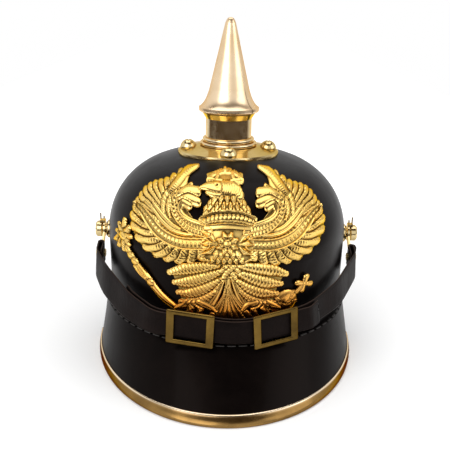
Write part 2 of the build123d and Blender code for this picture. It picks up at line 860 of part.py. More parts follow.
# Chinstrap

# Corners of the outer face's upper and lower edge as shares of the end reach and the front run
strap_top_shares = [
    (-1.0, 0.24), (-0.88, 0.44), (-0.68, 0.716), (-0.5, 0.8832), (0.1, 0.9904), (0.58, 0.8208),
    (0.8, 0.56), (1.0, 0.224),
]
strap_bottom_shares = [
    (-1.0, 0.32), (-0.91, 0.528), (-0.73, 0.756), (-0.52, 0.904), (0.1, 1.0112), (0.6, 0.8384),
    (0.83, 0.616), (1.0, 0.304),
]


def strap_corners(shares):
    """Route from post to post: distance to the side, then run to the front."""
    inner = [(x * strap_end_reach, t * strap_front_run) for x, t in shares]
    return [(-strap_end_reach, strap_end_start), *inner, (strap_end_reach, strap_end_start)]


def strap_plane():
    """Plane of the strap: +x to the side, +y to the back and up, +z across the strap."""
    dip = radians(strap_dip)
    normal = Vector(0, -sin(dip), cos(dip))
    return Plane(origin=(0, post_y, strap_plane_height), x_dir=(1, 0, 0), z_dir=normal)


def moved_in(corners, depths):
    """Corners moved towards the head by a depth each."""
    moved = []
    for i, (x, t) in enumerate(corners):
        normals = []
        for a, b in ((i - 1, i), (i, i + 1)):
            if a >= 0 and b < len(corners):
                dx, dt = corners[b][0] - corners[a][0], corners[b][1] - corners[a][1]
                size = hypot(dx, dt)
                normals.append((dt / size, -dx / size))
        nx = sum(n[0] for n in normals) / len(normals)
        nt = sum(n[1] for n in normals) / len(normals)
        square = nx * nx + nt * nt
        moved.append((x + depths[i] * nx / square, t + depths[i] * nt / square))
    return moved


def bend_radii(corners):
    """Radius of each inner corner, as large as its shorter leg allows."""
    radii = []
    for a, b, c in zip(corners, corners[1:], corners[2:]):
        first, second = Vector(b[0] - a[0], b[1] - a[1]), Vector(c[0] - b[0], c[1] - b[1])
        turn = radians(first.get_angle(second))
        radii.append(bend_leg_share * min(first.length, second.length) / tan(turn / 2))
    return radii


def ribbon_face(corners, depths, offset):
    """Section of a ribbon across its thickness, at an offset across the strap."""
    near = moved_in(corners, depths)
    far = moved_in(corners, [d + strap_leather for d in depths])
    near_radii = bend_radii(near)
    far_radii = [r - strap_leather for r in near_radii]
    outer = FilletPolyline(*[(x, -t) for x, t in near], radius=near_radii)
    inner = FilletPolyline(*[(x, -t) for x, t in far], radius=far_radii)
    start = Line(outer @ 0, inner @ 0)
    end = Line(outer @ 1, inner @ 1)
    return Pos(0, 0, offset) * make_face([*outer.edges(), *inner.edges(), start, end])


def ribbon(top, bottom, depths):
    """Leather ribbon between an upper and a lower route."""
    faces = [ribbon_face(bottom, depths, -strap_half_width), ribbon_face(top, depths, strap_half_width)]
    return strap_plane() * loft(faces, ruled=True)


def part_way(corners, i, j, share):
    """Point a share of the way from one corner to another."""
    (x0, t0), (x1, t1) = corners[i], corners[j]
    return (x0 + (x1 - x0) * share, t0 + (t1 - t0) * share)


def fold(side):
    """Inner layer of a strap's end, folded round the hook and open for its arm."""
    depth = hook_thickness + 2 * seat_gap
    outer = strap_end_reach - strap_leather
    inner = outer - depth - strap_leather
    width = 2 * strap_half_width
    back = -strap_end_start
    front = -strap_end_start - strap_fold_length
    flap = Box(strap_leather, strap_fold_length, width, align=(Align.MIN, Align.MAX, Align.CENTER))
    end = Box(
        depth + 2 * strap_leather, strap_leather, width, align=(Align.MIN, Align.MAX, Align.CENTER)
    )
    slot = Box(
        depth, 3 * strap_leather, hook_arm_width + 2 * hook_slot_gap,
        align=(Align.MIN, Align.CENTER, Align.CENTER),
    )
    body = Pos(inner, back, 0) * flap + Pos(inner, back, 0) * end
    body -= Pos(inner + strap_leather, back, 0) * slot
    return strap_plane() * (body if side > 0 else mirror(body, Plane.YZ))


def rivet_holes(side):
    """Bore for the rivet through one strap end."""
    return rivet_rod(rivet_radius + running_gap, -overrun, overrun, side)


def rivet_rod(radius, before, after, side):
    """Cylinder through a strap end, from inside to outside the leather."""
    depth = hook_thickness + 2 * seat_gap
    near = strap_end_reach - 2 * strap_leather - depth + before
    far = strap_end_reach + after
    circle = Pos(-strap_end_start - rivet_setback, 0) * Circle(radius)
    plane = strap_plane()
    across = Plane(origin=plane.origin, x_dir=plane.y_dir, z_dir=plane.x_dir)
    rod = extrude(Pos(0, 0, near) * circle, far - near)
    placed = across * rod
    return placed if side > 0 else mirror(placed, Plane.YZ)


def build_chinstrap_left():
    """Outer ribbon, from the left post to a tip past the right buckle."""
    routes = []
    for shares in (strap_top_shares, strap_bottom_shares):
        corners = strap_corners(shares)
        routes.append(corners[:7] + [part_way(corners, 6, 7, strap_tip_share)])
    strap = ribbon(*routes, [0] * len(routes[0]))
    return strap + fold(-1) - rivet_holes(-1)


def build_chinstrap_right():
    """Inner ribbon, from the right post to a tip past the left buckle."""
    under = strap_leather + strap_layer_gap
    routes = []
    for shares in (strap_top_shares, strap_bottom_shares):
        corners = strap_corners(shares)
        routes.append([part_way(corners, 3, 2, strap_tip_share)] + corners[3:])
    depths = [under] * 5 + [0] * 3
    strap = ribbon(*routes, depths)
    return strap + fold(1) - rivet_holes(1)


def build_strap_hook(side):
    """Brass eye on the post, its arm into the strap and two prongs on top."""
    inner = strap_end_reach - strap_leather - hook_thickness - seat_gap
    dip = radians(strap_dip)
    start = strap_end_start - strap_leather / 2
    tongue_y = post_y - start * cos(dip)
    tongue_z = strap_plane_height - start * sin(dip)
    arm = Line((post_y, post_height), (tongue_y, tongue_z))
    tongue = Line(
        (tongue_y, tongue_z),
        (tongue_y - hook_tongue_length * cos(dip), tongue_z - hook_tongue_length * sin(dip)),
    )
    outline = trace([arm, tongue], hook_arm_width) + Pos(post_y, post_height) * Circle(hook_eye_radius)
    outline += Pos(tongue_y, tongue_z) * Circle(hook_arm_width / 2)
    outline -= Pos(post_y, post_height) * Circle(post_groove_radius + hook_eye_gap)
    hook = extrude(Plane.YZ * outline, hook_thickness)
    top = post_height + post_head_radius + hook_eye_gap
    low = post_height + post_groove_radius + hook_eye_gap
    tab = Box(hook_thickness, hook_arm_width, top + prong_bridge_height - low, align=Align.MIN)
    hook += Pos(0, post_y - hook_arm_width / 2, low) * tab
    bridge_length = prong_outer_reach - inner
    bridge = Box(bridge_length, hook_arm_width, prong_bridge_height, align=Align.MIN)
    hook += Pos(0, post_y - hook_arm_width / 2, top) * bridge
    for reach, rise in ((prong_inner_reach, prong_low_rise), (prong_outer_reach, prong_high_rise)):
        prong = Box(prong_width, prong_width, rise, align=(Align.MAX, Align.CENTER, Align.MIN))
        hook += Pos(reach - inner, post_y, top) * prong
    hook = Pos(inner, 0, 0) * hook
    body = hook if side > 0 else mirror(hook, Plane.YZ)
    return body - rivet_holes(side)


def build_strap_rivets():
    """One rivet through each strap end and its hook."""
    rivets = []
    for side in (-1, 1):
        shank = rivet_rod(rivet_radius, 0, 0, side)
        outer = rivet_rod(rivet_head_radius, 0, rivet_head_height, side)
        outer -= rivet_rod(2 * rivet_head_radius, -overrun, 0, side)
        inner = rivet_rod(rivet_head_radius, -rivet_head_height, 0, side)
        inner -= rivet_rod(2 * rivet_head_radius, 0, overrun, side)
        rivets.append(shank + outer + inner)
    return group(rivets)


def strap_point(shares, x, offset):
    """Point of a route at a side distance and its heading, in the real frame."""
    corners = strap_corners(shares)
    index = max(i for i in range(1, len(corners) - 2) if corners[i][0] <= x)
    (x0, t0), (x1, t1) = corners[index], corners[index + 1]
    slope = (t1 - t0) / (x1 - x0)
    plane = strap_plane()
    place = plane.from_local_coords(Vector(x, -t0 - slope * (x - x0), offset))
    return place, plane.x_dir - plane.y_dir * slope


def buckle_plane(x):
    """Plane on the strap's outer face: +x along the strap, +y across it, +z outwards."""
    top, heading = strap_point(strap_top_shares, x, strap_half_width)
    bottom, _ = strap_point(strap_bottom_shares, x, -strap_half_width)
    across = top - bottom
    return Plane(origin=(top + bottom) / 2, x_dir=heading, z_dir=heading.cross(across))


def build_buckle(x):
    """Sliding frame with a centre bar between the strap's two layers."""
    frame = RectangleRounded(buckle_width, buckle_height, buckle_corner)
    frame -= Rectangle(buckle_width - 2 * buckle_side_bar, buckle_height - 2 * buckle_top_bar)
    body = Pos(0, 0, buckle_standoff) * extrude(frame, buckle_thickness)
    gap = (strap_layer_gap - buckle_bar_thickness) / 2
    bar_low = -strap_leather - strap_layer_gap + gap
    ear_low = strap_half_width + buckle_ear_gap
    ear_high = buckle_height / 2
    bar = Box(
        buckle_bar_width, 2 * ear_high, buckle_bar_thickness, align=(Align.CENTER, Align.CENTER, Align.MIN)
    )
    body += Pos(0, 0, bar_low) * bar
    for side in (-1, 1):
        ear = Box(
            buckle_bar_width, ear_high - ear_low, buckle_standoff + buckle_thickness / 2 - bar_low,
            align=(Align.CENTER, Align.MIN if side > 0 else Align.MAX, Align.MIN),
        )
        body += Pos(0, side * ear_low, bar_low) * ear
    return buckle_plane(x) * body


# Head band and liner

def build_sweatband():
    """Leather band inside the rim: foot on the shell, a step clear of the rivets, then leaning in."""
    low = rim_height + band_foot_gap
    levels = [
        (low, shell_leather), (low + band_foot_height, shell_leather),
        (low + band_step_height, band_step_inset),
        (low + band_height - band_seam_height, tongue_inset - band_leather),
        (low + band_height, tongue_inset - band_leather),
    ]
    points = [(shell_radius(z) - inset, z) for z, inset in levels]
    points += [(x - band_leather, z) for x, z in reversed(points)]
    return stretch(ring_of(points))


def build_liner_tongues():
    """Leather fingers that rise from the head band and bend in under the crown."""
    skin = layer(-tongue_inset - tongue_leather, -tongue_inset, tongue_low)
    root = shell_half_width
    tongues = []
    for i in range(tongue_count):
        outline = Polyline(
            (root, -tongue_root_half_width), (root, tongue_root_half_width),
            (tongue_tip_radius, tongue_tip_half_width), (tongue_tip_radius, -tongue_tip_half_width),
            close=True,
        )
        finger = extrude(Pos(0, 0, tongue_low) * make_face(outline), crown_height - tongue_low)
        hole = Pos(tongue_tip_radius + tongue_hole_setback, 0, crown_height) * Cylinder(
            tongue_hole_radius, crown_height
        )
        turned = Rot(0, 0, (i + 0.5) * 360 / tongue_count)
        tongues.append(stretch(turned * (finger - hole) & skin))
    return group(tongues)


def build_all():
    """Every node by name."""
    return {
        "shell": build_shell(),
        "front_visor": build_visor(-1),
        "rear_visor": build_visor(1),
        "front_visor_trim": build_trim(),
        "front_visor_stitching": build_stitching(-1),
        "rear_visor_stitching": build_stitching(1),
        "spike_base_plate": build_base_plate(),
        "base_plate_studs": build_base_plate_studs(),
        "base_plate_nuts": build_base_plate_nuts(),
        "crown_reinforcing_disc": build_crown_disc(),
        "spike_neck": build_neck(),
        "spike_neck_collar": build_collar(),
        "spike": build_spike(),
        "spike_screw_sleeve": build_sleeve(),
        "eagle_plate": build_eagle(),
        "eagle_fixing_posts": build_eagle_posts(),
        "eagle_washers": build_eagle_washers(),
        "eagle_fixing_nuts": build_eagle_nuts(),
        "rear_spine": build_spine(),
        "rear_spine_screws": build_spine_screws(),
        "rear_spine_nuts": build_spine_nuts(),
        "vent_slide": build_vent_slide(),
        "side_post_left": build_side_post(-1),
        "side_post_right": build_side_post(1),
        "side_post_nuts": build_side_post_nuts(),
        "side_ball_studs": build_side_ball_studs(),
        "ball_stud_washers": build_ball_stud_washers(),
        "strap_hook_left": build_strap_hook(-1),
        "strap_hook_right": build_strap_hook(1),
        "strap_rivets": build_strap_rivets(),
        "chinstrap_left": build_chinstrap_left(),
        "chinstrap_right": build_chinstrap_right(),
        "buckle_left": build_buckle(buckle_left_x),
        "buckle_right": build_buckle(buckle_right_x),
        "sweatband": build_sweatband(),
        "liner_tongues": build_liner_tongues(),
    }


for name, shape in build_all().items():
    export_step(shape, f"parts/{name}.step")
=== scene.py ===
from math import radians

import bpy
import numpy as np
from mathutils import Matrix, Vector


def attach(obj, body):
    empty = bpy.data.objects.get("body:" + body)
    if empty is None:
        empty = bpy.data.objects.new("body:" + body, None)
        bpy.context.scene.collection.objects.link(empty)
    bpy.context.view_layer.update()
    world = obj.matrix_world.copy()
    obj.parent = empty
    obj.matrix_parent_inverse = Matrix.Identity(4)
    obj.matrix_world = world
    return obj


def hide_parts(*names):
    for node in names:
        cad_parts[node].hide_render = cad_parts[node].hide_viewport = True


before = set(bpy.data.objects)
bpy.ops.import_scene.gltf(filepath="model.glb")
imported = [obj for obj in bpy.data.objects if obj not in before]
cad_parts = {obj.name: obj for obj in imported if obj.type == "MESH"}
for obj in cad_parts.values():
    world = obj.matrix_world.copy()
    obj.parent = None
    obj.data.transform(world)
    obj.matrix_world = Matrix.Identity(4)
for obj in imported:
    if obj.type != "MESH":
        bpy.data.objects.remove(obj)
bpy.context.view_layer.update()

# One millimetre in scene units
MM = 0.001

# Shell surface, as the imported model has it: wall, shoulder arc and crown arc, longer than wide
PLAN_LENGTH_SHARE = 1.15
SHELL_HALF_WIDTH = 91.5
WALL_TAPER = 1.5
RIM_HEIGHT = 38.8
WALL_TOP_HEIGHT = 94.0
SHOULDER_RADIUS = 55.0
CROWN_HEIGHT = 155.5
SHOULDER_INSET = SHELL_HALF_WIDTH - SHOULDER_RADIUS
CROWN_DROP = WALL_TOP_HEIGHT - CROWN_HEIGHT
CROWN_RADIUS = (SHOULDER_RADIUS**2 - SHOULDER_INSET**2 - CROWN_DROP**2) / (
    2 * (CROWN_DROP + SHOULDER_RADIUS)
)
CROWN_CENTRE = CROWN_HEIGHT - CROWN_RADIUS
SHOULDER_TURN = float(np.arctan2(WALL_TOP_HEIGHT - CROWN_CENTRE, SHOULDER_INSET))
SHOULDER_TOP = WALL_TOP_HEIGHT + SHOULDER_RADIUS * float(np.sin(SHOULDER_TURN))


# Mesh helpers

def faces_outward(points, faces):
    """The faces turned so that the body they enclose has a positive volume, the sum of p0 . (p1 x p2)."""
    a, b, c, d = (points[faces[:, k]] for k in range(4))
    volume = (a * (np.cross(b, c) + np.cross(c, d))).sum()
    return faces[:, ::-1] if volume < 0 else faces


def new_object(name, points, faces, material, smooth=True):
    """A mesh object at the origin from points in millimetres and an array of quads."""
    points = np.asarray(points, float).reshape(-1, 3)
    faces = faces_outward(points, np.asarray(faces))
    mesh = bpy.data.meshes.new(name)
    mesh.from_pydata((points * MM).tolist(), [], faces.tolist())
    mesh.polygons.foreach_set("use_smooth", np.full(len(mesh.polygons), smooth))
    mesh.materials.append(material)
    mesh.update()
    obj = bpy.data.objects.new(name, mesh)
    bpy.context.scene.collection.objects.link(obj)
    return obj


def keep_attribute(obj, name, values):
    """One number per point, which the finish reads."""
    data = obj.data.attributes.new(name, "FLOAT", "POINT").data
    data.foreach_set("value", np.asarray(values, np.float32).ravel())


def stacked(*values):
    """Arrays spread to one shape, as the coordinates of points."""
    return np.stack(np.broadcast_arrays(*values), axis=-1)


def circle(turn):
    """Points of the unit circle, x = cos t, y = sin t."""
    return stacked(np.cos(turn), np.sin(turn))


def unit(vectors):
    """Vectors brought to length 1."""
    return vectors / np.linalg.norm(vectors, axis=-1, keepdims=True)


def turned_right(vectors):
    """Plane vectors turned a quarter to the right: (x, y) becomes (y, -x)."""
    return stacked(vectors[..., 1], -vectors[..., 0])


def run_along(points):
    """Distance along a line of points, from 0 at the first."""
    return np.concatenate([[0], np.cumsum(np.linalg.norm(np.diff(points, axis=0), axis=1))])


def tube_faces(rows, columns):
    """Quads of a closed section carried along, with a fan of quads to close both ends."""
    i, j = np.meshgrid(np.arange(rows - 1), np.arange(columns), indexing="ij")
    k = (j + 1) % columns
    here, ahead = i * columns, (i + 1) * columns
    sides = stacked(here + j, here + k, ahead + k, ahead + j).reshape(-1, 4)
    half = np.arange((columns - 2) // 2)
    cap = stacked(half, half + 1, columns - 2 - half, (columns - 1 - half) % columns)
    return np.concatenate([sides, cap[:, ::-1], cap + (rows - 1) * columns])


def ring_faces(rows, columns):
    """Quads of a closed section on a closed path."""
    i, j = np.meshgrid(np.arange(rows), np.arange(columns), indexing="ij")
    k = (j + 1) % columns
    here, ahead = i * columns, (i + 1) % rows * columns
    return stacked(here + j, ahead + j, ahead + k, here + k).reshape(-1, 4)


def soft_loop(count, power, start=0.5):
    """Closed loop of a rounded square of half size 1, its first point a part of a step on."""
    loop = circle((np.arange(count) + start) * 2 * np.pi / count)
    return np.sign(loop) * np.abs(loop) ** power


def oval_points(radius, turn, height):
    """Points round the shell's oval plan: x = r cos t, y = 1.15 r sin t."""
    return stacked(radius * np.cos(turn), PLAN_LENGTH_SHARE * radius * np.sin(turn), height)


def joined(*parts):
    """Points and faces of several closed bodies as one."""
    points, faces = zip(*parts)
    starts = np.cumsum([0, *map(len, points[:-1])])
    return np.vstack(points), np.concatenate([rows + start for rows, start in zip(faces, starts)])


def place_piece(obj, body, slot, *nodes):
    """The piece rides on its body and stands for its nodes. The slot is not used."""
    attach(obj, body)
    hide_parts(*nodes)


# Node helpers

class Nodes:
    """Adds nodes to a tree. A socket takes a link or a plain value, and a colour comes without its
    alpha. An underscore in a socket's name stands for a space."""

    def __init__(self, tree):
        self.tree = tree

    def feed(self, node, **sources):
        """Fills a node's sockets by name."""
        for name, source in sources.items():
            self.fill(node.inputs[name.replace("_", " ")], source)

    def fill(self, socket, source):
        """Links a source to a socket or sets the socket's own value."""
        if isinstance(source, bpy.types.NodeSocket):
            self.tree.links.new(source, socket)
        else:
            socket.default_value = (*source, 1) if socket.type == "RGBA" else source

    def add(self, kind, settings=None, **sources):
        """New node with its settings, then its sockets."""
        node = self.tree.nodes.new("ShaderNode" + kind)
        for name, value in (settings or {}).items():
            setattr(node, name, value)
        self.feed(node, **sources)
        return node

    def math(self, operation, *sources):
        """Result of one operation on links or numbers."""
        node = self.add("Math", {"operation": operation})
        for socket, source in zip(node.inputs, sources):
            self.fill(socket, source)
        return node.outputs["Value"]

    def span(self, factor, low, high, new_low=0.0, new_high=1.0, curve="LINEAR"):
        """A factor mapped from one span to another."""
        node = self.add("MapRange", {"interpolation_type": curve}, Value=factor, From_Min=low,
                        From_Max=high, To_Min=new_low, To_Max=new_high)
        return node.outputs["Result"]

    def fade(self, factor, low, high, new_low=0.0, new_high=1.0):
        """The same with a soft start and end."""
        return self.span(factor, low, high, new_low, new_high, "SMOOTHSTEP")

    def mix(self, factor, first, second, kind="RGBA"):
        """Mix of two colours, or of two numbers."""
        return self.add("Mix", {"data_type": kind}, Factor=factor, A=first, B=second).outputs["Result"]


class Finish(Nodes):
    """A material with a Principled shader, whose pattern comes from Object coordinates."""

    def __init__(self, name, **sources):
        self.material = bpy.data.materials.new(name)
        self.material.use_nodes = True
        super().__init__(self.material.node_tree)
        self.shader = self.tree.nodes["Principled BSDF"]
        self.coords = self.add("TexCoord").outputs["Object"]
        self.set(**sources)

    def set(self, **sources):
        """Links or plain values for the shader's own sockets."""
        self.feed(self.shader, **sources)

    def colour(self):
        """What feeds the shader's colour so far."""
        return self.shader.inputs["Base Color"].links[0].from_socket

    def noise(self, scale, detail=3.0, roughness=0.5, stretch=(1, 1, 1)):
        """Noise of a scale per metre, stretched along the axes."""
        place = self.add("Mapping", Scale=stretch, Vector=self.coords).outputs["Vector"]
        return self.add("TexNoise", Scale=scale, Detail=detail, Roughness=roughness,
                        Vector=place).outputs["Fac"]

    def cells(self, scale):
        """Voronoi cell distance of a scale per metre."""
        return self.add("TexVoronoi", Scale=scale, Vector=self.coords).outputs["Distance"]

    def attribute(self, name):
        """The mesh's own attribute as a factor; a mesh without it counts as 0."""
        return self.add("Attribute", {"attribute_name": name}).outputs["Fac"]

    def height(self):
        """Height above the floor in metres."""
        return self.add("SeparateXYZ", Vector=self.coords).outputs["Z"]

    def turn_from(self, turn):
        """Angle in radians between a point's direction about the upright axis and the given turn."""
        parts = self.add("SeparateXYZ", Vector=self.coords).outputs
        direction = self.math("ARCTAN2", parts["Y"], parts["X"])
        return self.math("ABSOLUTE", self.math("SUBTRACT", direction, turn))

    def ramp(self, factor, *stops):
        """Colours between two stops of (place, colour)."""
        node = self.add("ValToRGB", Fac=factor)
        for element, (place, colour) in zip(node.color_ramp.elements, stops):
            element.position = place
            element.color = (*colour, 1)
        return node.outputs["Color"]

    def bump(self, *layers):
        """Stacked bumps of (height, distance in millimetres)."""
        normal = None
        for height, distance in layers:
            node = self.add("Bump", Strength=1.0, Distance=distance * MM, Height=height)
            if normal:
                self.tree.links.new(normal, node.inputs["Normal"])
            normal = node.outputs["Normal"]
        self.set(Normal=normal)


# Finishes: noise scales are per metre, heights in metres

# The eagle's foot turns red between these heights
RED_TOP = 0.088
RED_FOOT = 0.066
RED_BRASS = (0.62, 0.23, 0.028)
# Painted shade in the relief's hollows fades out between these levels of the relief; the shares are of the
# deep colour
HOLLOW_FLOOR = 0.2
HOLLOW_TOP = 0.56
HOLLOW_SHADE_SHARE = 0.22
TARNISH_SHARE = 0.55
# The spike's seam: direction about its axis, to the right of the front, half width and foot
SEAM_TURN = radians(-41)
SEAM_WIDTH = 0.045
SEAM_FOOT = (0.198, 0.203)
SEAM_BROWN = (0.16, 0.09, 0.04)
# Pale colour of the trim's top lip: a painted highlight
LIP_HIGHLIGHT_BRASS = (0.95, 0.78, 0.56)


def brass_finish(name, bright, deep, gloss, spots=0.25, hollow_shade_and_red_foot=False):
    """Polished brass: slow colour drift, faint tarnish spots and fine polishing haze. With
    hollow_shade_and_red_foot the relief's hollows get painted shade and the foot turns red."""
    finish = Finish(name, Metallic=1.0, Specular_Tint=bright)
    colour = finish.ramp(finish.noise(28, 4, 0.6), (0.3, deep), (0.62, bright))
    if hollow_shade_and_red_foot:
        colour = finish.mix(finish.span(finish.height(), RED_TOP, RED_FOOT), colour, RED_BRASS)
    tarnish = finish.span(finish.noise(75, 5, 0.65), 0.6, 0.75, 0.0, spots)
    colour = finish.mix(tarnish, colour, tuple(TARNISH_SHARE * c for c in deep))
    if hollow_shade_and_red_foot:
        # Painted shade: low levels of the relief, the hollows and the plate's back, darken towards the deep
        # colour
        hollow = finish.span(finish.attribute("relief"), HOLLOW_FLOOR, HOLLOW_TOP, 1.0, 0.0)
        colour = finish.mix(hollow, colour, tuple(HOLLOW_SHADE_SHARE * c for c in deep))
    haze = finish.noise(150, 2, 0.5)
    finish.set(Base_Color=colour, Roughness=finish.span(haze, 0.3, 0.75, gloss, gloss + 0.06))
    finish.bump((finish.noise(60, 2), 0.03))
    return finish


def spike_finish():
    """Pale polished brass with the dark line of the cone's lapped seam."""
    finish = brass_finish("spike_brass", (0.86, 0.67, 0.45), (0.74, 0.53, 0.31), 0.26, 0.05)
    line = finish.span(finish.turn_from(SEAM_TURN), 0.0, SEAM_WIDTH, 0.85, 0.0)
    above = finish.span(finish.height(), *SEAM_FOOT)
    base = finish.colour()
    finish.set(Base_Color=finish.mix(above, finish.mix(line, base, SEAM_BROWN), base))
    return finish


def trim_finish():
    """Brass darkened as painted shade, with a pale lip along its top that is a painted highlight."""
    # Brass colours kept far darker than polished brass: painted shade
    finish = brass_finish("trim_brass", (0.30, 0.175, 0.055), (0.15, 0.085, 0.028), 0.2, 0.4)
    # The edge attribute marks the top lip, which gets the painted highlight
    finish.set(Base_Color=finish.mix(finish.attribute("edge"), finish.colour(), LIP_HIGHLIGHT_BRASS))
    return finish


def shell_finish():
    """Black lacquered leather: deep gloss, faint orange peel, soft scuffs."""
    finish = Finish("black_lacquered_leather", Coat_Weight=0.02, Coat_Roughness=0.12,
                    Specular_IOR_Level=0.055, Specular_Tint=(1.0, 0.72, 0.6))
    scuff = finish.noise(34, 6, 0.7)
    colour = finish.ramp(scuff, (0.35, (0.0011, 0.0008, 0.0009)), (0.78, (0.004, 0.0026, 0.0023)))
    finish.set(Base_Color=colour, Roughness=finish.span(scuff, 0.3, 0.8, 0.3, 0.44))
    finish.bump((finish.noise(900, 2), 0.012), (finish.noise(90, 3), 0.05))
    return finish


def strap_finish():
    """Dark satin leather: fine grain, creases across, paler worn patches and rubbed edges."""
    finish = Finish("dark_strap_leather", Specular_IOR_Level=0.075, Specular_Tint=(1.0, 0.78, 0.7))
    wear = finish.noise(55, 6, 0.65)
    colour = finish.ramp(wear, (0.32, (0.0022, 0.0015, 0.0016)), (0.74, (0.0095, 0.006, 0.0053)))
    rubbed = finish.span(finish.attribute("edge"), 0.2, 1.0, 0.0, 0.8)
    finish.set(Base_Color=finish.mix(rubbed, colour, (0.06, 0.04, 0.031)),
               Roughness=finish.span(wear, 0.3, 0.8, 0.38, 0.56))
    finish.bump((finish.noise(1500, 4, 0.6), 0.03), (finish.cells(900), 0.03),
                (finish.noise(70, 3, 0.7, (3.2, 0.6, 0.6)), 0.25))
    return finish


def liner_finish():
    """Natural brown leather with a soft nap."""
    finish = Finish("natural_liner_leather")
    wear = finish.noise(40, 5, 0.6)
    finish.set(Base_Color=finish.ramp(wear, (0.3, (0.2, 0.105, 0.05)), (0.75, (0.36, 0.21, 0.115))),
               Roughness=finish.span(wear, 0.3, 0.8, 0.55, 0.75))
    finish.bump((finish.noise(1300, 4), 0.04), (finish.noise(200, 3), 0.1))
    return finish


def thread_finish():
    """Waxed black thread with a fine twist."""
    finish = Finish("waxed_black_thread", Roughness=0.6)
    twist = finish.noise(2600, 2, 0.5, (1, 1, 0.4))
    finish.set(Base_Color=finish.ramp(twist, (0.3, (0.008, 0.007, 0.006)), (0.7, (0.05, 0.042, 0.038))))
    finish.bump((twist, 0.06))
    return finish


def steel_finish():
    """Plain rolled steel."""
    finish = Finish("rolled_steel", Metallic=1.0)
    roll = finish.noise(300, 4, 0.6, (1, 8, 1))
    finish.set(Base_Color=finish.ramp(roll, (0.3, (0.3, 0.3, 0.31)), (0.7, (0.45, 0.45, 0.46))),
               Roughness=finish.span(roll, 0.3, 0.7, 0.35, 0.5))
    finish.bump((roll, 0.02))
    return finish


FITTING_BRASS = brass_finish("fitting_brass", (0.74, 0.59, 0.32), (0.56, 0.42, 0.19), 0.15).material
NECK_BRASS = brass_finish("neck_brass", (0.84, 0.68, 0.44), (0.64, 0.47, 0.24), 0.13, 0.2).material
COLLAR_GILT = brass_finish("collar_gilt", (0.86, 0.62, 0.19), (0.70, 0.47, 0.12), 0.13, 0.1).material
TRIM_BRASS = trim_finish().material
# Buckle brass kept far darker than polished brass: painted shade
BUCKLE_BRASS = brass_finish("buckle_brass", (0.19, 0.115, 0.026), (0.06, 0.036, 0.011), 0.2, 0.4).material
SPIKE_BRASS = spike_finish().material
EAGLE_GILT = brass_finish("eagle_gilt", (0.95, 0.66, 0.21), (0.80, 0.50, 0.12), 0.19, 0.08, True).material
SHELL_LEATHER = shell_finish().material
STRAP_LEATHER = strap_finish().material
LINER_LEATHER = liner_finish().material
THREAD = thread_finish().material
STEEL = steel_finish().material

NODE_FINISHES = {
    "shell": SHELL_LEATHER, "front_visor": SHELL_LEATHER, "rear_visor": SHELL_LEATHER,
    "front_visor_stitching": THREAD, "rear_visor_stitching": THREAD,
    "front_visor_trim": TRIM_BRASS, "spike_neck": NECK_BRASS, "spike_neck_collar": COLLAR_GILT,
    "buckle_left": BUCKLE_BRASS, "buckle_right": BUCKLE_BRASS,
    "eagle_plate": EAGLE_GILT, "chinstrap_left": STRAP_LEATHER, "chinstrap_right": STRAP_LEATHER,
    "sweatband": LINER_LEATHER, "liner_tongues": LINER_LEATHER, "eagle_washers": LINER_LEATHER,
    "spike": SPIKE_BRASS, "crown_reinforcing_disc": STEEL,
}

for node_name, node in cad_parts.items():
    node.data.materials.clear()
    node.data.materials.append(NODE_FINISHES.get(node_name, FITTING_BRASS))


# Eagle relief: strips painted one over another on a front view grid, then laid on the dome

GRID_STEP = 0.35
PLATE_BACK = 0.25
PLATE_VALLEY = 0.85
RELIEF_TOP = 3.0
# The front view is laid on the dome at this offset, and the relief then grows along the normal
BASE_OFFSET = 2.0
# Level of a hollow or ridge: how far it lies from the softened relief round it
SOFT_PASSES = 36
EVEN_RELIEF = 0.52
RELIEF_GAIN = 0.7
# The plate's back gets a level that takes the full painted shade
BACK_LEVEL = 0.2


def dome_radius(z, offset):
    """Half width of the dome at a height: straight wall, then shoulder arc, then crown arc, each
    moved out by the offset."""
    wall = SHELL_HALF_WIDTH - WALL_TAPER * (WALL_TOP_HEIGHT - z) / (WALL_TOP_HEIGHT - RIM_HEIGHT) + offset
    rise = np.maximum(z - WALL_TOP_HEIGHT, 0)
    shoulder = SHOULDER_INSET + np.sqrt(np.maximum((SHOULDER_RADIUS + offset) ** 2 - rise**2, 0))
    crown = np.sqrt(np.maximum((CROWN_RADIUS + offset) ** 2 - (z - CROWN_CENTRE) ** 2, 0))
    return np.where(z <= WALL_TOP_HEIGHT, wall, np.where(z < SHOULDER_TOP + 0.8 * offset, shoulder, crown))


def dome_point(x, z, height):
    """Points on the front of the dome: the front view point goes back to the oval surface at the base
    offset, y = -1.15 * root(radius^2 - x^2), then along the surface's normal to the wanted height."""
    radius = dome_radius(z, BASE_OFFSET)
    depth = np.sqrt(np.maximum(radius**2 - x**2, 1.0))
    slope = (dome_radius(z + 0.1, BASE_OFFSET) - dome_radius(z - 0.1, BASE_OFFSET)) / 0.2
    normal = unit(stacked(x / radius, -depth / radius / PLAN_LENGTH_SHARE, -slope))
    return stacked(x, -PLAN_LENGTH_SHARE * depth, z) + normal * (height - BASE_OFFSET)[..., None]


def smooth_path(points, count=14):
    """Catmull-Rom curve through the points, sampled evenly between them."""
    p = np.asarray(points, float)
    if len(p) == 2:
        return p[0] + (p[1] - p[0]) * np.linspace(0, 1, 3)[:, None]
    full = np.vstack([2 * p[0] - p[1], p, 2 * p[-1] - p[-2]])
    t = np.linspace(0, 1, max(3, count // (len(p) - 1)), endpoint=False)[:, None]
    rows = [0.5 * (2 * b + (c - a) * t + (2 * a - 5 * b + 4 * c - d) * t**2 + (3 * b - a - 3 * c + d) * t**3)
            for a, b, c, d in zip(full, full[1:], full[2:], full[3:])]
    return np.vstack([*rows, p[-1:]])


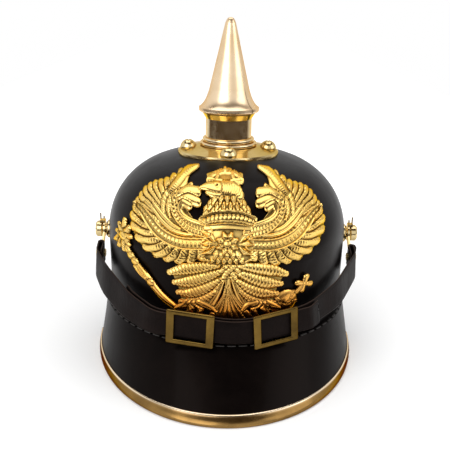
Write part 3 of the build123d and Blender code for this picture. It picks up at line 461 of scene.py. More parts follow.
def nearest_share(x, z, start, step):
    """Share along each line, from its start by its step, that lies nearest to a point, and the distance."""
    x, z = x - start[:, 0], z - start[:, 1]
    t = np.clip((x * step[:, 0] + z * step[:, 1]) / (step**2).sum(1), 0, 1)
    return t, np.hypot(x - t * step[:, 0], z - t * step[:, 1])


class Relief:
    """Even front view grid with a height map and the distance to the outline."""

    def __init__(self, left, right, low, high):
        self.x, self.z = np.meshgrid(np.arange(left, right + GRID_STEP, GRID_STEP),
                                     np.arange(low, high + GRID_STEP, GRID_STEP), indexing="ij")
        self.height = np.full(self.x.shape, PLATE_VALLEY)
        self.edge = np.full(self.x.shape, 9.0)

    def window(self, low_corner, high_corner):
        """The part of the grid between two corners, then its points, each with an axis for lines."""
        start = self.x[0, 0], self.z[0, 0]
        place = tuple(slice(max(int((low - o) / GRID_STEP), 0), max(int((high - o) / GRID_STEP) + 2, 1))
                      for low, high, o in zip(low_corner, high_corner, start))
        return place, self.x[place][..., None], self.z[place][..., None]

    def paint(self, place, distance, height):
        """Height replaces what lies below wherever the distance is negative; the outline takes it in."""
        self.height[place] = np.where(distance < 0, height, self.height[place])
        self.edge[place] = np.minimum(self.edge[place], distance)

    def strip(self, points, widths, profile):
        """Strip with round ends along a curve: each grid point takes its nearest place on the curve, and
        the profile gives its height from the run along, the share across and the share along."""
        path = smooth_path(points)
        start, step = path[:-1], np.diff(path, axis=0)
        length = np.linalg.norm(step, axis=1)
        run = run_along(path)
        half = np.interp(run / run[-1], np.linspace(0, 1, len(widths)), widths)
        reach = half.max() + 1.0
        place, x, z = self.window(path.min(0) - reach, path.max(0) + reach)
        t, gap = nearest_share(x, z, start, step)
        width = half[:-1] + (half[1:] - half[:-1]) * t
        nearest = np.argmin(gap - width, axis=-1)[..., None]

        def pick(values):
            return np.take_along_axis(values, nearest, -1)[..., 0]

        turn = np.sign(step[:, 0] * (z - start[:, 1]) - step[:, 1] * (x - start[:, 0]))
        along = pick(run[:-1] + t * length)
        self.paint(place, pick(gap - width), profile(along, pick(turn * gap / width), along / run[-1]))

    def patch(self, corners, height):
        """Flat patch inside a closed outline, with the exact distance to its straight sides."""
        a = np.asarray(corners, float)
        b = np.roll(a, -1, axis=0)
        d = b - a
        place, x, z = self.window(a.min(0) - 1, a.max(0) + 1)
        gap = nearest_share(x, z, a, d)[1].min(-1)
        above = (a[:, 1] > z) != (b[:, 1] > z)
        cross = a[:, 0] + (z - a[:, 1]) * d[:, 0] / np.where(d[:, 1] == 0, 1e-9, d[:, 1])
        inside = (above & (x < cross)).sum(-1) % 2 == 1
        self.paint(place, np.where(inside, -gap, gap), height)

    def ball(self, x, z, radius, low, high):
        """Round boss: the height follows a half ball."""
        self.strip([(x - 0.01, z), (x + 0.01, z)], [radius, radius], smooth_roll(low, high))


def feather(low, high, barb=0.1, pitch=1.5, shaft=0.16):
    """Profile of a feather: a round ridge, a fine shaft line and slanting barbs."""
    def profile(along, across, share):
        a = np.abs(across)
        ridge = (1 - a**1.7) * np.minimum(1, 0.35 + 1.3 * share)
        barbs = barb * np.sin(2 * np.pi * (along / pitch - 1.3 * a)) * (1 - a**4)
        return low + (high - low) * ridge + barbs + shaft * np.exp(-((across / 0.13) ** 2))
    return profile


def smooth_roll(low, high):
    """Profile of a smooth half round strip that keeps its height to both ends."""
    return lambda along, across, share: low + (high - low) * np.sqrt(np.maximum(1 - across**2, 0))


def ribbed_roll(low, high, pitch, depth):
    """Profile of a half round strip with ribs across it."""
    def profile(along, across, share):
        rib = np.abs(np.sin(np.pi * (along / pitch + 0.32 * across)))
        return smooth_roll(low, high)(along, across, share) - depth * (1 - rib**0.8)
    return profile


def bordered(floor, rim, pitch, bead):
    """Profile of a ribbon: two raised rims and a row of small beads on a recessed floor."""
    def profile(along, across, share):
        edge = np.exp(-(((np.abs(across) - 0.84) / 0.11) ** 4))
        spot = np.hypot(np.abs((along / pitch) % 1 - 0.5) * pitch, 2.6 * across)
        return floor + (rim - floor) * edge + bead * np.exp(-((spot / (0.26 * pitch)) ** 2))
    return profile


def dentils(floor, rim, pitch, tooth):
    """Profile of a band of short raised bars in two rows between rims."""
    def profile(along, across, share):
        a = np.abs(across)
        row = 0.5 * (across > 0)
        bars = np.clip(1.6 * np.sin(2 * np.pi * (along / pitch + row)), 0, 1) * (a < 0.74) * (a > 0.1)
        edge = np.exp(-(((a - 0.88) / 0.1) ** 4)) + 0.7 * np.exp(-((across / 0.07) ** 2))
        return floor + (rim - floor) * edge + tooth * bars
    return profile


def spread(half, count):
    """Middles of equal parts from -half to half."""
    return half * (2 * (np.arange(count) + 0.5) / count - 1)


def mirrored(points, side, shift):
    """Points of the right half taken to a side, then shifted."""
    return [(side * x + shift, z) for x, z in points]


WING_BODY = [
    (16, 121), (16, 107), (30, 100), (48, 101), (62, 107), (66, 118), (62, 128), (50, 139),
    (36, 144.5), (30, 142), (30, 132), (29, 127),
]
LOWER_TIPS = [
    (17.0, 101.2), (24.6, 97.6), (33.2, 96.2), (41.8, 96.2), (50.2, 97.6), (58.2, 100.4), (64.6, 105.2),
    (68.8, 111.6), (69.4, 118.2), (67.6, 123.6),
]
UPPER_TIPS = [
    (64.6, 127.4), (62.0, 131.2), (59.2, 134.7), (55.7, 137.4), (51.9, 139.2), (47.7, 140.5),
    (43.2, 142.0), (38.2, 144.4), (32.8, 147.0),
]
BANNER_LINE = [
    (64.3, 125.6), (60.4, 124.2), (54, 119.5), (46.8, 113.9), (38.4, 110.7), (29.4, 109.6), (15, 110.8),
]
FAN_CENTRE = np.array([29.0, 121.0])
# How far the plate fills the gaps between the feathers, as a share of their reach
FAN_FILL = 0.975
ARC_CENTRE = np.array([31.5, 129.5])
ARC_TURNS = np.radians([-36, -12, 12, 36, 60])
COVERT_LINES = [
    [(52.5, 130.5), (44.6, 124.3), (37.8, 120.0), (32, 118.2)],
    [(57.4, 128.6), (51.2, 126.0), (45.0, 120.9), (37.4, 116.8), (29.3, 115.5), (20, 115.9)],
]
BAND_LINE = [(37.2, 134.5), (36.4, 131), (34.6, 126.8), (29.4, 122.3), (22.5, 119.3), (13.5, 118)]
# Lines, half widths and tops of the curls at the wing's root
CURLS = [
    ([(38.5, 136), (33, 140), (28.6, 146.6)], [1.5, 2.6, 1.2], 2.1),
    ([(37, 134.5), (31, 137.8), (25.5, 142.8)], [1.8, 2.9, 1.3], 2.3),
    ([(34, 137.2), (27, 139.4), (21.2, 139.8)], [2.0, 3.3, 2.8], 2.6),
    ([(34, 133.5), (27, 135.4), (20.8, 134.3)], [2.0, 3.3, 2.8], 2.7),
]


def wing_relief():
    """One wing on its own grid, outward x positive: fans of feathers, ribbed arcs, coverts, ribbon, band
    and curls."""
    grid = Relief(8, 74, 92, 154)
    grid.patch(WING_BODY, PLATE_VALLEY)
    fan = FAN_CENTRE + FAN_FILL * (np.array([*LOWER_TIPS, *UPPER_TIPS]) - FAN_CENTRE)
    grid.patch([*fan, (30, 132), (16, 118)], PLATE_VALLEY)
    for tip in np.array(LOWER_TIPS):
        arm = tip - FAN_CENTRE
        middle = FAN_CENTRE + 0.65 * arm + 1.5 * turned_right(unit(arm))
        grid.strip([FAN_CENTRE + 0.3 * arm, middle, tip - 0.07 * arm], [2.6, 4.7, 4.9, 3.2],
                   feather(0.75, 2.5, 0.12, 1.9, 0.3))
    for share, tip in zip(np.linspace(0, 1, len(UPPER_TIPS)), np.array(UPPER_TIPS)):
        root = np.array([42.5 - 7.5 * share, 124.5 + 10.5 * share])
        middle = 0.4 * root + 0.6 * tip + np.array([0.6 - 2.2 * share, 2.2 - 3.4 * share])
        grid.strip([root, middle, tip - 0.08 * (tip - root)], [2.5, 4.0, 4.3, 3.3],
                   feather(0.9, 2.5, 0.1, 1.9, 0.25))
    for radius, high in ((13.2, 2.1), (9.2, 2.4)):
        grid.strip(ARC_CENTRE + radius * circle(ARC_TURNS), [1.0, 1.9, 1.9, 1.0],
                   ribbed_roll(0.9, high, 2.3, 0.45))
    for line in COVERT_LINES:
        grid.strip(line, [0.9, 1.5, 1.5, 1.2], smooth_roll(0.9, 2.2))
    grid.strip(BANNER_LINE, [2.2, 3.9, 4.0, 4.0, 3.9], bordered(1.0, 2.8, 2.7, 0.6))
    grid.strip(BAND_LINE, [2.4, 3.3, 3.7, 3.6], dentils(1.1, 2.6, 2.2, 0.45))
    for line, widths, high in CURLS:
        grid.strip(line, widths, smooth_roll(1.0, high))
    grid.strip([(26.5, 131.9), (30.8, 133.2), (32.8, 130), (31, 126.8), (26, 124.4), (18, 122.6)],
               [2.4, 2.2, 1.7, 1.6, 1.5, 1.4], smooth_roll(1.1, 2.3))
    grid.strip([(40.5, 138.5), (34.2, 144.2), (28.6, 148.8), (21.4, 151.2)], [2.2, 3.0, 2.2, 0.7],
               feather(0.9, 2.3, 0.1))
    return grid


def neck_tufts(grid):
    """Rows of tufts that hang down and outwards, the upper rows over the lower."""
    for row, z in enumerate((130.0, 133.2, 136.4)):
        for x in -0.8 + spread(15.6 - 2.6 * row, 7 - row):
            lean = 0.14 * (x + 0.8)
            grid.strip([(x - 0.7 * lean, z + 3.6), (x + lean, z - 2.2)], [1.6, 2.6, 1.5],
                       feather(0.9, 2.7 + 0.1 * row, 0.05, 1.6, 0.3))


def crowned_head(grid):
    """Head in profile with open beak and an arched crown."""
    grid.patch([(-14.4, 144.6), (-15.2, 148.4), (-9, 149.9), (-2.4, 150.9), (4.5, 149.9), (10.2, 149.0),
                (9.6, 144.6)], 1.3)
    for foot, top in ((-14.0, 148.6), (-8.5, 149.4), (9.4, 148.9), (4.0, 149.6)):
        grid.strip([(foot, 146), (0.62 * foot + 0.38 * -2.4, top), (-2.4, 149.6)], [0.9, 0.9, 0.8],
                   bordered(1.9, 2.2, 1.5, 0.5))
    grid.ball(-2.4, 150.1, 1.3, 1.4, 2.9)
    grid.strip([(-14, 145.4), (-2.4, 144.8), (9.3, 145.5)], [1.3, 1.3], bordered(1.7, 2.4, 1.9, 0.8))
    grid.strip([(8.0, 138.6), (4.5, 141.6), (-3.5, 142.2), (-9.5, 141.6)], [2.6, 3.9, 3.9, 3.0],
               feather(1.5, 2.7, 0.12, 1.6, 0.0))
    grid.strip([(-6.5, 138.9), (-11, 138.9), (-14.8, 139.5)], [2.0, 1.7, 0.8], smooth_roll(1.4, 2.6))
    grid.strip([(-7, 142.2), (-13.5, 142.4), (-18.2, 141.6), (-20.2, 140.4)], [3.1, 2.6, 1.7, 0.6],
               smooth_roll(1.4, 3.0))
    grid.ball(-7.6, 143.2, 1.5, 2.1, 2.9)
    grid.ball(-7.7, 143.2, 0.7, 1.6, 1.9)


ROSETTE_CENTRE = np.array([-0.3, 111.4])
# Lines of the leaves on the right of the rosette
LEAVES = [
    [(8.5, 112.6), (12, 116.2), (16.4, 117.6)], [(8.8, 111), (12.6, 111.4), (17, 110.6)],
    [(8.5, 109.2), (12, 106), (16, 104.6)],
]


def breast(grid):
    """Plain breast field with a bold rosette between leaves, an arched bead ribbon above it and soft
    feathers at its foot."""
    grid.patch([(-15.5, 123), (15.5, 123), (17.4, 112), (16.4, 103), (9, 98), (-8, 98), (-16.4, 103),
                (-17.4, 112)], 1.1)
    for side in (-1, 1):
        for line in LEAVES:
            grid.strip(mirrored(line, side, -0.3), [0.7, 2.1, 0.7], feather(1.2, 2.8, 0.0, 2.0, 0.25))
    for row, (z, count) in enumerate(((100.2, 6), (103.2, 5))):
        for x in -0.3 + spread(12.5 - 2 * row, count):
            grid.strip([(0.8 * x, z + 3.2), (x, z - 1.4)], [1.4, 2.3, 1.3],
                       feather(0.9, 2.2, 0.05, 1.6, 0.25))
    for arm in circle(2 * np.pi * (np.arange(8) + 0.5) / 8):
        grid.strip([ROSETTE_CENTRE + 2.6 * arm, ROSETTE_CENTRE + 6.9 * arm], [1.0, 2.15, 1.2],
                   feather(1.3, 2.9, 0.0, 2.0, 0.15))
    grid.ball(*ROSETTE_CENTRE, 2.5, 1.9, 3.0)
    grid.strip([(-14.6, 120.7), (0, 122.2), (14.4, 120.9)], [1.9, 2.2, 1.9], smooth_roll(1.2, 2.1))
    grid.strip([(-16.9, 124.3), (-9.5, 126.9), (0, 127.7), (9.5, 127.0), (16.8, 124.7)],
               [2.6, 3.3, 3.3, 3.3, 2.6], bordered(1.3, 3.0, 2.8, 0.8))


# The legs' two sides with their shifts, then the right leg's outline, its lines beside the tail, its
# ribbed rolls with half widths, the rolls that cross between the legs, and the toes of both feet
LEG_SIDES = ((-1, 0.0), (1, 1.2))
LEG_FIELD = [
    (4, 101), (18, 97), (34, 91), (37, 87), (33, 80), (32, 74), (30, 68), (16, 66), (7, 78), (2, 92),
]
TAIL_SIDES = [[(1.5, 93), (7.5, 80.5), (15, 69.5)], [(1, 91.5), (5.2, 79), (10.5, 67.5)]]
LEG_ROLLS = [
    ([(31, 68.6), (24, 68.8), (15, 73), (8, 79)], [2.0, 3.7, 3.3, 1.8]),
    ([(32.6, 75.0), (24, 76.0), (14, 80.6), (6, 86.6)], [2.2, 4.2, 3.7, 2.0]),
    ([(35.2, 81.8), (26, 83.6), (15.5, 87.8), (5, 92.8)], [2.2, 4.4, 3.9, 2.2]),
    ([(38.4, 88.4), (30, 91.9), (18.5, 94.8), (7, 97.4)], [2.4, 4.3, 4.0, 2.4]),
]
CROSSING_ROLLS = [
    [(-6, 101.5), (1, 98.2), (7.5, 93.6)], [(8, 101.8), (2, 98.4), (-4.5, 93.2)],
    [(-6.5, 99), (-12, 101.5), (-17, 101)], [(7.5, 99), (13, 102), (18, 101.4)],
    [(-1.5, 96.5), (2.5, 92.8), (5.5, 88.6)], [(4.5, 96.5), (0, 92.8), (-2.6, 88.8)],
]
TOES = [
    [(-26.5, 69), (-29, 66), (-34.5, 63.4)], [(-24.5, 68.5), (-24, 64.5), (-27, 60.2)],
    [(-21.5, 69), (-17.5, 65.6), (-19.5, 60.5)], [(-18.5, 70), (-12, 67.4), (-7.2, 64.2)],
    [(27, 69.5), (31, 67), (36, 64.6)], [(25, 68.8), (25.2, 65), (29, 60.8)],
    [(22, 69), (18.5, 66), (20.5, 61)], [(19.5, 70), (14, 68.6), (10.6, 65.4)],
]


def legs_and_tail(grid):
    """Ribbed leg rolls on both sides, crossing rolls between them, a ribbed tail and smooth toes."""
    for side, shift in LEG_SIDES:
        grid.patch(mirrored(LEG_FIELD, side, shift), 0.9)
        for line in TAIL_SIDES:
            grid.strip(mirrored(line, side, shift), [0.8, 1.7, 2.4], smooth_roll(1.1, 2.6))
    for i in range(7):
        share = i / 6
        grid.strip([(0.4 + 1.6 * (share - 0.5), 89.5), (-1.6 + 5.4 * share, 77), (-10.5 + 27 * share, 58.5)],
                   [0.6, 1.3, 2.9], smooth_roll(0.8, 2.4))
    for side, shift in LEG_SIDES:
        for line, widths in LEG_ROLLS:
            grid.strip(mirrored(line, side, shift), widths, ribbed_roll(1.0, 3.0, 2.4, 0.8))
    for line in CROSSING_ROLLS:
        grid.strip(line, [1.7, 2.4, 1.7], ribbed_roll(1.2, 3.0, 2.3, 0.7))
    for line in TOES:
        grid.strip(line, [2.7, 2.8, 2.4, 1.3], smooth_roll(1.0, 2.9))


# Tips of the leaves round the sceptre's head, and ends of the arms of the orb's cross
LEAF_TIPS = [
    (-73.2, 113.6), (-69.2, 110.4), (-67.9, 105.0), (-69.3, 99.2), (-80.9, 97.0), (-77.8, 94.2),
    (-79.4, 103.8), (-77.6, 109.2), (-73.2, 93.4),
]
CROSS_TIPS = [(48.9, 79.6), (58.3, 76.4), (55.2, 82.6), (52, 73.6)]


def sceptre_and_orb(grid):
    """Sceptre with a leafy head on the left and an orb with its cross on the right."""
    grid.strip([(-71.5, 97), (-68.2, 92.6), (-61, 86), (-52, 77.2), (-44, 69.4), (-33, 62.8)],
               [2.4, 1.9, 3.2, 2.6, 2.9, 2.3], smooth_roll(0.9, 2.6))
    for shift in (-1.3, 0, 1.3):
        grid.strip([(-63.8 + shift, 88.2 + shift), (-58.5 + 1.2 * shift, 83.2 + 1.2 * shift), (-53, 77.8)],
                   [0.5, 0.95, 0.5], smooth_roll(2.2, 3.0))
    for x, z, radius in ((-67.4, 91.8, 2.8), (-64.2, 88.7, 2.9), (-52.4, 77.4, 3.0)):
        grid.ball(x, z, radius, 1.0, 2.9)
    for tip in LEAF_TIPS:
        grid.strip([(-74, 103), tip], [1.8, 2.7, 1.6], feather(1.0, 2.7, 0.1, 1.4, 0.25))
    grid.ball(-74, 103, 3.0, 1.3, 3.0)
    grid.strip([(41, 69), (48.5, 73.6), (53.6, 78)], [1.6, 1.7, 1.7], smooth_roll(1.0, 2.2))
    for tip in CROSS_TIPS:
        grid.strip([(53.6, 78), tip], [1.3, 2.1], smooth_roll(1.0, 2.4))
    grid.ball(40.6, 68.7, 8.0, 0.9, 2.6)
    grid.strip([(33.6, 71.6), (40.2, 66.8), (47.8, 67.2)], [0.9, 0.9], bordered(2.2, 2.7, 1.8, 0.4))
    grid.strip([(40.4, 67.2), (43.6, 71), (45.4, 75)], [0.8, 0.8], bordered(2.2, 2.7, 1.8, 0.4))
    grid.strip([(28, 66), (34.5, 64.4)], [2.6, 2.2], smooth_roll(1.0, 2.6))


def body_relief():
    """Head, breast, legs and tail with sceptre and orb on one grid."""
    grid = Relief(-85, 62, 55, 154)
    for draw in (sceptre_and_orb, legs_and_tail, neck_tufts, crowned_head, breast):
        draw(grid)
    return grid


def cut_sheet(u, v, edge, step):
    """Cells of an even grid inside an outline, their border moved onto it down the distance's slope, as
    faces of a front and a back layer with walls between them."""
    near = edge < 0.5 * step
    cells = near[:-1, :-1] & near[1:, :-1] & near[:-1, 1:] & near[1:, 1:]
    around = np.pad(cells, 1)
    beside = around[1:, 1:], around[:-1, 1:], around[1:, :-1], around[:-1, :-1]
    touched = np.logical_or.reduce(beside)
    border = touched & ~np.logical_and.reduce(beside)
    slope_u, slope_v = np.gradient(edge, step)
    size = np.maximum(slope_u**2 + slope_v**2, 0.25)
    u = np.where(border, u - edge * slope_u / size, u)
    v = np.where(border, v - edge * slope_v / size, v)
    number = np.full(u.shape, -1)
    count = int(touched.sum())
    number[touched] = np.arange(count)
    i, j = np.nonzero(cells)
    front = stacked(number[i, j], number[i + 1, j], number[i + 1, j + 1], number[i, j + 1])
    sides = np.concatenate([front[:, [k, (k + 1) % 4]] for k in range(4)])
    twins = np.isin(sides[:, 0] * count + sides[:, 1], sides[:, 1] * count + sides[:, 0])
    a, b = sides[~twins].T
    walls = stacked(b, a, a + count, b + count)
    return u[touched], v[touched], np.concatenate([front, front[:, ::-1] + count, walls]), touched


def relief_object(name, grid, mirror=1):
    """Closed plate from a painted grid with an even back. An attribute keeps how far each point lies above or
    below the relief round it; the finish paints shade into the low places."""
    x, z, faces, touched = cut_sheet(grid.x, grid.z, grid.edge, GRID_STEP)
    height = np.minimum(grid.height, RELIEF_TOP)
    soft = height.copy()
    for _ in range(SOFT_PASSES):
        wide = np.pad(soft, 1, mode="edge")
        soft = (wide[2:, 1:-1] + wide[:-2, 1:-1] + wide[1:-1, 2:] + wide[1:-1, :-2] + 2 * soft) / 6
    points = [dome_point(mirror * x, z, level) for level in (height[touched], np.full(len(x), PLATE_BACK))]
    obj = new_object(name, np.concatenate(points), faces, EAGLE_GILT)
    level = np.clip(EVEN_RELIEF + RELIEF_GAIN * (height - soft)[touched], 0, 1)
    keep_attribute(obj, "relief", np.concatenate([level, np.full(len(x), BACK_LEVEL)]))
    return obj


def dress_eagle():
    """Both wings and the body stand for the plate."""
    wing = wing_relief()
    for obj in (relief_object("eagle_wing_left", wing, -1), relief_object("eagle_wing_right", wing, 1),
                relief_object("eagle_body", body_relief())):
        place_piece(obj, "helmet", "eagle_gilt", "eagle_plate")


# Front visor's trim

VISOR_LEDGE_X = 94.5
VISOR_LEDGE_Y = 108.0
VISOR_SIDE_REACH = 100.0
VISOR_FRONT_REACH = 147.8
VISOR_CENTRE_SHIFT = 5.0
TRIM_END = 10.0
TRIM_ROWS = 241
# The pale lip, a painted highlight, fades in between these heights
TRIM_LIP_HIGHLIGHT = (6.1, 6.5)
# Section of the folded channel: inset from the visor's slope and height, outside and inside
TRIM_OUTSIDE = [
    (0.55, 7.05), (0.1, 7.0), (-0.18, 6.6), (-0.1, 6.15), (-0.12, 5.4), (-0.28, 4.4), (-0.3, 3.4),
    (-0.1, 2.4), (0.25, 1.5), (0.8, 0.75), (1.5, 0.25), (2.4, 0.0), (4.0, 0.0), (4.6, 0.2), (4.8, 0.8),
    (4.8, 4.3), (4.6, 4.5),
]
TRIM_INSIDE = [
    (0.85, 6.95), (0.9, 6.8), (0.9, 6.5), (0.9, 6.1), (0.9, 5.4), (0.9, 4.4), (0.9, 3.4), (0.9, 2.4),
    (0.9, 1.6), (0.95, 1.0), (1.5, 0.9), (2.4, 0.9), (3.6, 0.9), (3.88, 1.0), (3.9, 1.5), (3.9, 4.3),
    (4.1, 4.5),
]


def dress_trim():
    """The channel's section is carried round the visor's oval, x = a sin t, y = -5 s - b cos t, where s is
    the share of the way down and both half axes grow with it; both ends lie in one plane."""
    inset, height = np.array([*TRIM_OUTSIDE, *TRIM_INSIDE[::-1]]).T
    down = (RIM_HEIGHT - height) / RIM_HEIGHT
    side_run, front_run = VISOR_SIDE_REACH - VISOR_LEDGE_X, VISOR_FRONT_REACH - VISOR_LEDGE_Y
    half_x = VISOR_LEDGE_X + side_run * down - inset * np.hypot(RIM_HEIGHT, side_run) / RIM_HEIGHT
    half_y = (VISOR_LEDGE_Y + (front_run - VISOR_CENTRE_SHIFT) * down
              - inset * np.hypot(RIM_HEIGHT, front_run) / RIM_HEIGHT)
    centre = -VISOR_CENTRE_SHIFT * down
    turn = np.linspace(-1, 1, TRIM_ROWS)[:, None] * np.arccos((TRIM_END + centre) / half_y)
    points = stacked(half_x * np.sin(turn), centre - half_y * np.cos(turn), height)
    trim = new_object("visor_trim", points, tube_faces(*turn.shape), TRIM_BRASS)
    keep_attribute(trim, "edge", np.broadcast_to(np.interp(height, TRIM_LIP_HIGHLIGHT, (0.0, 1.0)), turn.shape))
    place_piece(trim, "helmet", "fitting_brass", "front_visor_trim")


# Leather straps, drawn in the plane of their loop

STRAP_DIP = radians(12)
STRAP_PLANE_HEIGHT = 77.7
STRAP_POST_DEPTH = 6.0
STRAP_HALF_WIDTH = 8.5
STRAP_LEATHER_THICKNESS = 1.8
STRAP_UNDER = 3.0
STRAP_BEND_SHARE = 0.3
STRAP_TIP_SHARE = 0.25
# Distance to the side and run to the front of the outer face's upper and lower edge
STRAP_UPPER = [
    (-100, 16), (-100, 30), (-88, 55), (-68, 89.5), (-50, 110.4), (10, 123.8), (58, 102.6), (80, 70),
    (100, 28), (100, 16),
]
STRAP_LOWER = [
    (-100, 16), (-100, 40), (-91, 66), (-73, 94.5), (-52, 113), (10, 126.4), (60, 104.8), (83, 77),
    (100, 38), (100, 16),
]
# The folded ends start at the routes' first and last corner
FOLD_SIDE = 100.0
FOLD_START = 16.0
FOLD_FLAP = 31.0
FOLD_FACE = 94.6
FOLD_TURN = 2.6
# Points across the two faces, where the rubbed edge starts and its share, and how far edges round off
STRAP_FACE_POINTS = 25
STRAP_BACK_POINTS = 13
STRAP_EDGE_START = 0.9
STRAP_EDGE_SHARE = 0.1
STRAP_FACE_ROUNDING = 0.55
STRAP_BACK_ROUNDING = 0.35
# Pressed line beside each edge: share across, width as a share, and depth
PRESSED_PLACE = 0.82
PRESSED_WIDTH = 0.035
PRESSED_DEPTH = 0.22
# Height of the slow waves each way, and the runs that set their length and how they drift across
STRAP_WAVE = 0.12
STRAP_WAVE_RUN = 9.0
STRAP_WAVE_DRIFT = 23.0


def bent_route(corners, depths):
    """Route moved in by a depth at each corner, every bend a parabola whose ends lie a share of the
    shorter leg from its corner."""
    p = np.asarray(corners, float)
    inward = turned_right(unit(np.diff(p, axis=0)))
    mean = np.vstack([inward[:1], (inward[:-1] + inward[1:]) / 2, inward[-1:]])
    p = p + np.asarray(depths, float)[:, None] * mean / (mean**2).sum(1, keepdims=True)
    size = np.linalg.norm(np.diff(p, axis=0), axis=1)
    t = np.linspace(0, 1, 9)[:, None]
    straight = np.linspace(0, 1, 8)[1:, None]
    rows = [p[:1]]
    for a, b, c, before, after in zip(p, p[1:], p[2:], size, size[1:]):
        reach = STRAP_BEND_SHARE * min(before, after)
        start, end = b + (a - b) * reach / before, b + (c - b) * reach / after
        here = rows[-1][-1]
        rows.append(here + (start - here) * straight[:-1])
        rows.append((1 - t) ** 2 * start + 2 * t * (1 - t) * b + t**2 * end)
    here = rows[-1][-1]
    return np.vstack([*rows, here + (p[-1] - here) * straight])


def fold_route(side):
    """Folded end of a strap from the flap's tip round a half circle to the outer face."""
    turn = np.linspace(0, np.pi, 11)
    middle = (FOLD_FACE + FOLD_SIDE) / 2
    arc = stacked(middle - (FOLD_SIDE - middle) * np.cos(turn), FOLD_START + FOLD_TURN * (1 - np.sin(turn)))
    flap = stacked(FOLD_FACE, np.linspace(FOLD_FLAP, FOLD_START + FOLD_TURN, 7)[:-1])
    return np.vstack([flap, arc]) * (side, 1)


def strap_to_world(local):
    """Side distance, run to the front and place across the strap, as a point beside the posts."""
    x, t, o = np.moveaxis(np.asarray(local, float), -1, 0)
    return stacked(x, STRAP_POST_DEPTH - t * np.cos(STRAP_DIP) - o * np.sin(STRAP_DIP),
                   STRAP_PLANE_HEIGHT - t * np.sin(STRAP_DIP) + o * np.cos(STRAP_DIP))


def strap_piece(name, upper, lower):
    """Leather ribbon between two routes: a rounded section is carried along, its outer face with a pressed
    line beside each edge, its thickness laid inwards along the mean normal of the routes. Slow waves of
    a quarter millimetre lie in it."""
    middle = (upper + lower) / 2
    inward = turned_right(unit(np.gradient(middle, axis=0)))
    run = run_along(middle)[:, None]
    across = np.concatenate([np.linspace(-1, 1, STRAP_FACE_POINTS),
                             np.linspace(1, -1, STRAP_BACK_POINTS)[1:-1]])
    face = np.arange(len(across)) < STRAP_FACE_POINTS
    rim = np.clip((np.abs(across) - STRAP_EDGE_START) / STRAP_EDGE_SHARE, 0, 1)
    pressed = PRESSED_DEPTH * np.exp(-(((np.abs(across) - PRESSED_PLACE) / PRESSED_WIDTH) ** 2))
    depth = np.where(face, STRAP_FACE_ROUNDING * rim**2 + pressed,
                     STRAP_LEATHER_THICKNESS - STRAP_BACK_ROUNDING * rim**2)
    wave = STRAP_WAVE * np.sin(run / STRAP_WAVE_RUN) * np.cos(2.2 * across + run / STRAP_WAVE_DRIFT)
    flat = lower[:, None] + (upper - lower)[:, None] * ((across + 1) / 2)[None, :, None]
    place = flat + inward[:, None] * (depth + STRAP_WAVE + wave)[..., None]
    points = strap_to_world(stacked(place[..., 0], place[..., 1], STRAP_HALF_WIDTH * across))
    obj = new_object(name, points, tube_faces(*wave.shape), STRAP_LEATHER)
    keep_attribute(obj, "edge", np.broadcast_to(rim, wave.shape))
    return obj


def part_way(corners, i, j):
    """Corner a share of the way from one corner to another."""
    a, b = np.array(corners[i], float), np.array(corners[j], float)
    return tuple(a + (b - a) * STRAP_TIP_SHARE)


def dress_straps():
    """The outer half comes from the left post, the inner one from the right post under it."""
    left, right = [], []
    for corners in (STRAP_UPPER, STRAP_LOWER):
        outer = bent_route([*corners[:7], part_way(corners, 6, 7)], [0] * 8)
        inner = bent_route([part_way(corners, 3, 2), *corners[3:]], [STRAP_UNDER] * 5 + [0] * 3)
        left.append(np.vstack([fold_route(-1), outer[1:]]))
        right.append(np.vstack([inner[:-1], fold_route(1)[::-1]]))
    place_piece(strap_piece("strap_left", *left), "chinstrap", "strap_leather", "chinstrap_left")
    place_piece(strap_piece("strap_right", *right), "chinstrap", "strap_leather", "chinstrap_right")


# Buckles: places on the strap, then their size; height counts from the strap's outer face

BUCKLE_PLACES = (("left", -24.0), ("right", 33.0))
BUCKLE_HALF_WIDTH = 16.5
BUCKLE_HALF_HEIGHT = 12.5
BUCKLE_SIDE_BAR = 5.5
BUCKLE_TOP_BAR = 3.6
BUCKLE_CORNER = 1.2
OPENING_CORNER_SHARE = 0.12
BUCKLE_LOW = 0.5
BUCKLE_HIGH = 2.1
BUCKLE_CROWN = 0.22
HIDDEN_BAR_HALF_WIDTH = 1.2
HIDDEN_BAR_REACH = 12.4
HIDDEN_BAR_THICKNESS = 0.6
HIDDEN_BAR_LOW = -STRAP_UNDER + 0.3
EAR_START = 9.0


def strap_front(corners, x, offset):
    """Point of a route at a side distance and the direction there, in the strap's plane."""
    p = np.asarray(corners, float)
    i = int(np.searchsorted(p[1:-1, 0], x))
    (x0, t0), (x1, t1) = p[i], p[i + 1]
    slope = (t1 - t0) / (x1 - x0)
    return np.array([x, t0 + slope * (x - x0), offset]), np.array([1.0, slope, 0.0])


def buckle_axes(x):
    """Middle of a buckle on the strap's outer face, then its directions along, across and outwards."""
    upper, heading = strap_front(STRAP_UPPER, x, STRAP_HALF_WIDTH)
    lower, _ = strap_front(STRAP_LOWER, x, -STRAP_HALF_WIDTH)
    along = unit(strap_to_world(heading) - strap_to_world(np.zeros(3)))
    out = unit(np.cross(along, strap_to_world(upper) - strap_to_world(lower)))
    return strap_to_world((upper + lower) / 2), np.stack([along, np.cross(out, along), out])


